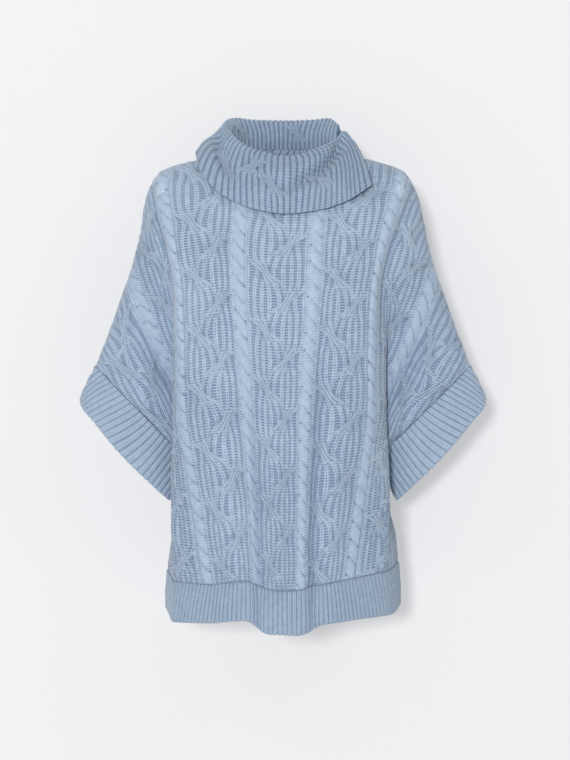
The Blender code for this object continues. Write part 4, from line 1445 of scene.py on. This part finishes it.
# ---- collar
@dataclass(frozen=True)
class Collar:
    """A ribbed strip that stands on the neck, folds over and hangs open at its slit.

    Its visible face is inside the stand and outside the flap.
    """

    name: str
    panels: tuple[Panel, Panel]
    finish: WoolFinish
    knit: RibKnit = RibKnit(rib_height=1.7, power=0.8, base=0.3, over_height=0.8, reach=19.0,
                            squeeze=0.45)
    ribs: int = 60
    per_rib: int = 8
    rows: int = 93
    wall: float = 3.5
    flat: tuple[float, float] = (0.62, 0.145)
    roll: float = 8.0  # height of the fold at the top
    stand_bow: float = 3.0
    flap_bow: float = 4.0
    flap_rise: float = 0.6  # of the bow's direction, upwards
    edge: Ramp = Ramp(0.0, 2.5, 0.75, least=0.25)  # share of the relief at the free edge
    end: Ramp = Ramp(0.0, 3.0, 0.6, least=0.4)  # and at the two ends over the slit

    def net(self) -> Array:
        """Give the collar's net: one row a place, from the neck seam to the free edge.

        Returns:
            Seven places a row.
        """
        rows = []
        for place in COLLAR_PLACES:
            panel = self.panels[0] if place.side is Side.FRONT else self.panels[1]
            seam = panel.cloth(np.array([float(place.across)]), np.array([0.0]))[0, 0]
            fold, edge = np.array(place.fold, float), np.array(place.edge, float)
            out = unit(fold * (1, 1, 0))
            before, after = fold - out * place.roll, fold + out * place.roll
            before[2] -= self.roll
            after[2] -= self.roll
            stand = 0.5 * (seam + before) - out * self.stand_bow
            flap = 0.5 * (after + edge) + (out + (0, 0, self.flap_rise)) * self.flap_bow
            rows.append((seam, stand, before, fold, after, flap, edge))
        return np.array(rows)

    def keys(self) -> Array:
        """Give how far along the fold each place lies."""
        return reach_along(column_of(COLLAR_PLACES, "fold"))

    def cloth(self, along: Array, course: Array) -> Array:
        """Give the grid of the visible face: smooth curves along the net, then over it.

        Args:
            along: distances along the fold.
            course: courses from the seam over the fold.

        Returns:
            Places in millimetres, one row a distance.
        """
        net = self.net()
        rings = through(self.keys(), net.reshape(len(net), -1), along)
        rings = np.swapaxes(rings.reshape(len(along), -1, 3), 0, 1)
        grid = through(COLLAR_COURSES, rings.reshape(len(rings), -1), course)
        return np.swapaxes(grid.reshape(len(course), len(along), 3), 0, 1)

    def relief(self, along: Array, course: Array) -> Relief:
        """Give the ribs with their crossings, each of which is moved onto a whole rib.

        Args:
            along: distances along the fold.
            course: courses.

        Returns:
            Relief of the collar.
        """
        pitch = self.keys()[-1] / self.ribs
        crossings = [(round(crossing.across / pitch) * RIB, course - crossing.down, crossing.lean)
                     for crossing in COLLAR_CROSSINGS]
        return self.knit.crossed(along * (RIB / pitch), crossings, 0.5)

    def build(self) -> bpy.types.Object:
        """Build the collar.

        Returns:
            The finished piece.
        """
        along = np.linspace(0.0, self.keys()[-1], self.ribs * self.per_rib + 1)
        course = np.linspace(0.0, COLLAR_COURSES[-1], self.rows)
        places = self.cloth(along, course)
        outward = normals(places, -1.0)
        wide, down = np.broadcast_arrays(along[:, None], course[None, :])
        places = places - outward * fold_depth(COLLAR_FOLDS, wide, down)[..., None]
        relief = self.relief(wide, down)
        edge = self.edge.at(COLLAR_COURSES[-1] - down)
        ends = self.end.at(np.minimum(wide, along[-1] - wide))
        relief.height = relief.height * edge * ends * unevenness(wide, down)
        outer, lining = two_faces(places, outward, relief, self.wall)
        way = unit(places[:, -1] - places[:, -2])
        outer[:, -1] += way * TIP * crest(relief.wale[:, -1:])
        wall = KnitWall(self.name, outer, lining, relief, down / STITCH, turned=True)
        return finished(wall, self.finish)


# ---- studio
@dataclass(frozen=True)
class Light:
    """A soft square light: where it stands, what it faces, its side and its power."""

    name: str
    place: Place
    target: Place
    side: float
    power: float


@dataclass(frozen=True)
class Studio:
    """A pale sweep behind and under the garment, soft lights and a level camera."""

    distance: float = 3.3
    height: float = -0.3225
    aside: float = 0.003
    view_height: float = 1.14
    sensor: float = 36.0
    sweep_back: float = 0.17
    sweep_floor: float = -1.5
    sweep_reach: float = 9.0
    bend: float = 0.55
    bend_points: int = 17
    pale: float = 0.45
    pale_blue: float = 1.012  # over red and green
    glow: float = 0.345
    glow_blue: float = 1.015
    surround: float = 0.40
    lights: tuple[Light, ...] = (
        Light("key", (-1.05, -8.0, 0.35), (0.0, 0.0, -0.3), 0.8, 425.0),
        Light("side", (-1.6, -1.8, 1.3), (0.0, 0.0, -0.2), 0.6, 4.0),
        Light("fill", (1.8, -2.2, 1.3), (0.0, 0.0, -0.2), 1.4, 5.5),
        Light("rear", (0.6, 2.4, 1.2), (0.0, 0.0, -0.3), 1.8, 80.0),
    )

    def sweep(self) -> None:
        """Build the sweep: a floor that turns up into a wall along a quarter circle.

        Its profile runs forward along the floor, round the bend and up the wall. From behind
        the wall lets the view through.
        """
        turn = np.linspace(0.0, np.pi / 2, self.bend_points)
        back, low = self.sweep_back, self.sweep_floor
        bend_y = back - self.bend + self.bend * np.sin(turn)
        bend_z = low + self.bend - self.bend * np.cos(turn)
        x = np.linspace(-self.sweep_reach, self.sweep_reach, 3)
        y = np.concatenate([[-self.sweep_reach], bend_y, [back]])
        z = np.concatenate([[low], bend_z, [self.sweep_reach]])
        grid = np.stack(np.broadcast_arrays(x[:, None], y, z), axis=-1)
        mesh = bpy.data.meshes.new("sweep")
        quads = grid_quads(len(x), len(y), 0, False)[:, ::-1]
        mesh.from_pydata(grid.reshape(-1, 3), [], quads.tolist())
        mesh.shade_smooth()
        mesh.materials.append(self.paper())
        sweep = stood("sweep", mesh)

    def paper(self) -> bpy.types.Material:
        """Build the sweep's matt paper, lit through from behind, and clear from its back.

        Returns:
            The material.
        """
        material = bpy.data.materials.new("paper")
        nodes = Nodes(material)
        tint = (self.pale, self.pale, self.pale * self.pale_blue, 1.0)
        matt = nodes.add("ShaderNodeBsdfDiffuse", {}, {"Color": tint})
        lit = nodes.add("ShaderNodeEmission", {}, {"Color": (1.0, 1.0, self.glow_blue, 1.0),
                                                   "Strength": self.glow})
        front = nodes.add("ShaderNodeAddShader", {}, {0: matt.outputs[0], 1: lit.outputs[0]})
        clear = nodes.add("ShaderNodeBsdfTransparent", {}, {})
        behind = nodes.add("ShaderNodeNewGeometry", {}, {}).outputs["Backfacing"]
        mixed = nodes.add("ShaderNodeMixShader", {}, {0: behind, 1: front.outputs[0],
                                                      2: clear.outputs[0]})
        nodes.add("ShaderNodeOutputMaterial", {}, {"Surface": mixed.outputs[0]})
        return material

    def lamp(self, light: Light) -> None:
        """Stand up one light.

        Args:
            light: its place, aim, side and power.
        """
        data = bpy.data.lights.new(light.name, "AREA")
        data.shape, data.size, data.energy = "SQUARE", light.side, light.power
        lamp = stood(light.name, data)
        lamp.location = light.place
        way = Vector(light.target) - Vector(light.place)
        lamp.rotation_euler = way.to_track_quat("-Z", "Y").to_euler()

    def sky(self) -> None:
        """Set an even pale surrounding."""
        world = bpy.data.worlds.new("surrounding")
        world.use_nodes = True
        background = world.node_tree.nodes["Background"]
        background.inputs["Color"].default_value = (1.0, 1.0, 1.0, 1.0)
        background.inputs["Strength"].default_value = self.surround
        bpy.context.scene.world = world

    def camera(self) -> None:
        """Stand up the level camera, whose view is `view_height` tall at the garment."""
        data = bpy.data.cameras.new("camera")
        data.sensor_width = self.sensor
        data.lens = self.sensor * self.distance / self.view_height
        camera = stood("camera", data)
        camera.location = (self.aside, -self.distance, self.height)
        camera.rotation_euler = (math.pi / 2, 0.0, 0.0)
        bpy.context.scene.camera = camera

    def build(self) -> None:
        """Set up the whole studio."""
        self.sweep()
        self.sky()
        for light in self.lights:
            self.lamp(light)
        self.camera()
        bpy.context.scene.view_settings.view_transform = "Standard"


# ---- the garment
@dataclass(frozen=True)
class Garment:
    """The whole sweater."""

    # Each deep colour is what painted shade and the yarn's random mottle and fuzz blend towards.
    cable_light: Colour = (0.450, 0.560, 0.686, 1.0)
    cable_deep: Colour = (0.140, 0.200, 0.300, 1.0)
    collar_light: Colour = (0.345, 0.441, 0.562, 1.0)
    rib_light: Colour = (0.362, 0.455, 0.568, 1.0)
    rib_deep: Colour = (0.115, 0.170, 0.260, 1.0)

    def build(self) -> list[bpy.types.Object]:
        """Build each piece in turn, and give them all.

        Returns:
            The pieces, in order.
        """
        cable = WoolFinish("cable", self.cable_light, self.cable_deep)
        rib = WoolFinish("rib", self.rib_light, self.rib_deep, loops=0.38, lines=0.28,
                         gutter=0.62)
        # the collar's wool, a darker tint than the cables'
        worn = WoolFinish("collar", self.collar_light, self.rib_deep, loops=0.75, lines=0.35,
                          gutter=0.48)
        front = Panel("front", Side.FRONT, FRONT_WALES, FRONT_FOLDS, FRONT_HEM, cable)
        back = Panel("back", Side.BACK, BACK_WALES, BACK_FOLDS, BACK_HEM, cable, rows=229)
        panels = (front, back)
        parts = (front, back, Collar("collar", panels, worn),
                 HemBand("hem_front", front, rib), HemBand("hem_back", back, rib),
                 Cuff("cuff_left", Arm.LEFT, panels, rib),
                 Cuff("cuff_right", Arm.RIGHT, panels, rib))
        return [part.build() for part in parts]


def main() -> None:
    """Build the studio and the garment, and report the pieces."""
    logging.basicConfig(level=logging.INFO)
    Studio().build()
    for piece in Garment().build():
        LOG.info("%s: %d faces", piece.name, len(piece.data.polygons))


if __name__ == "__main__":
    main()
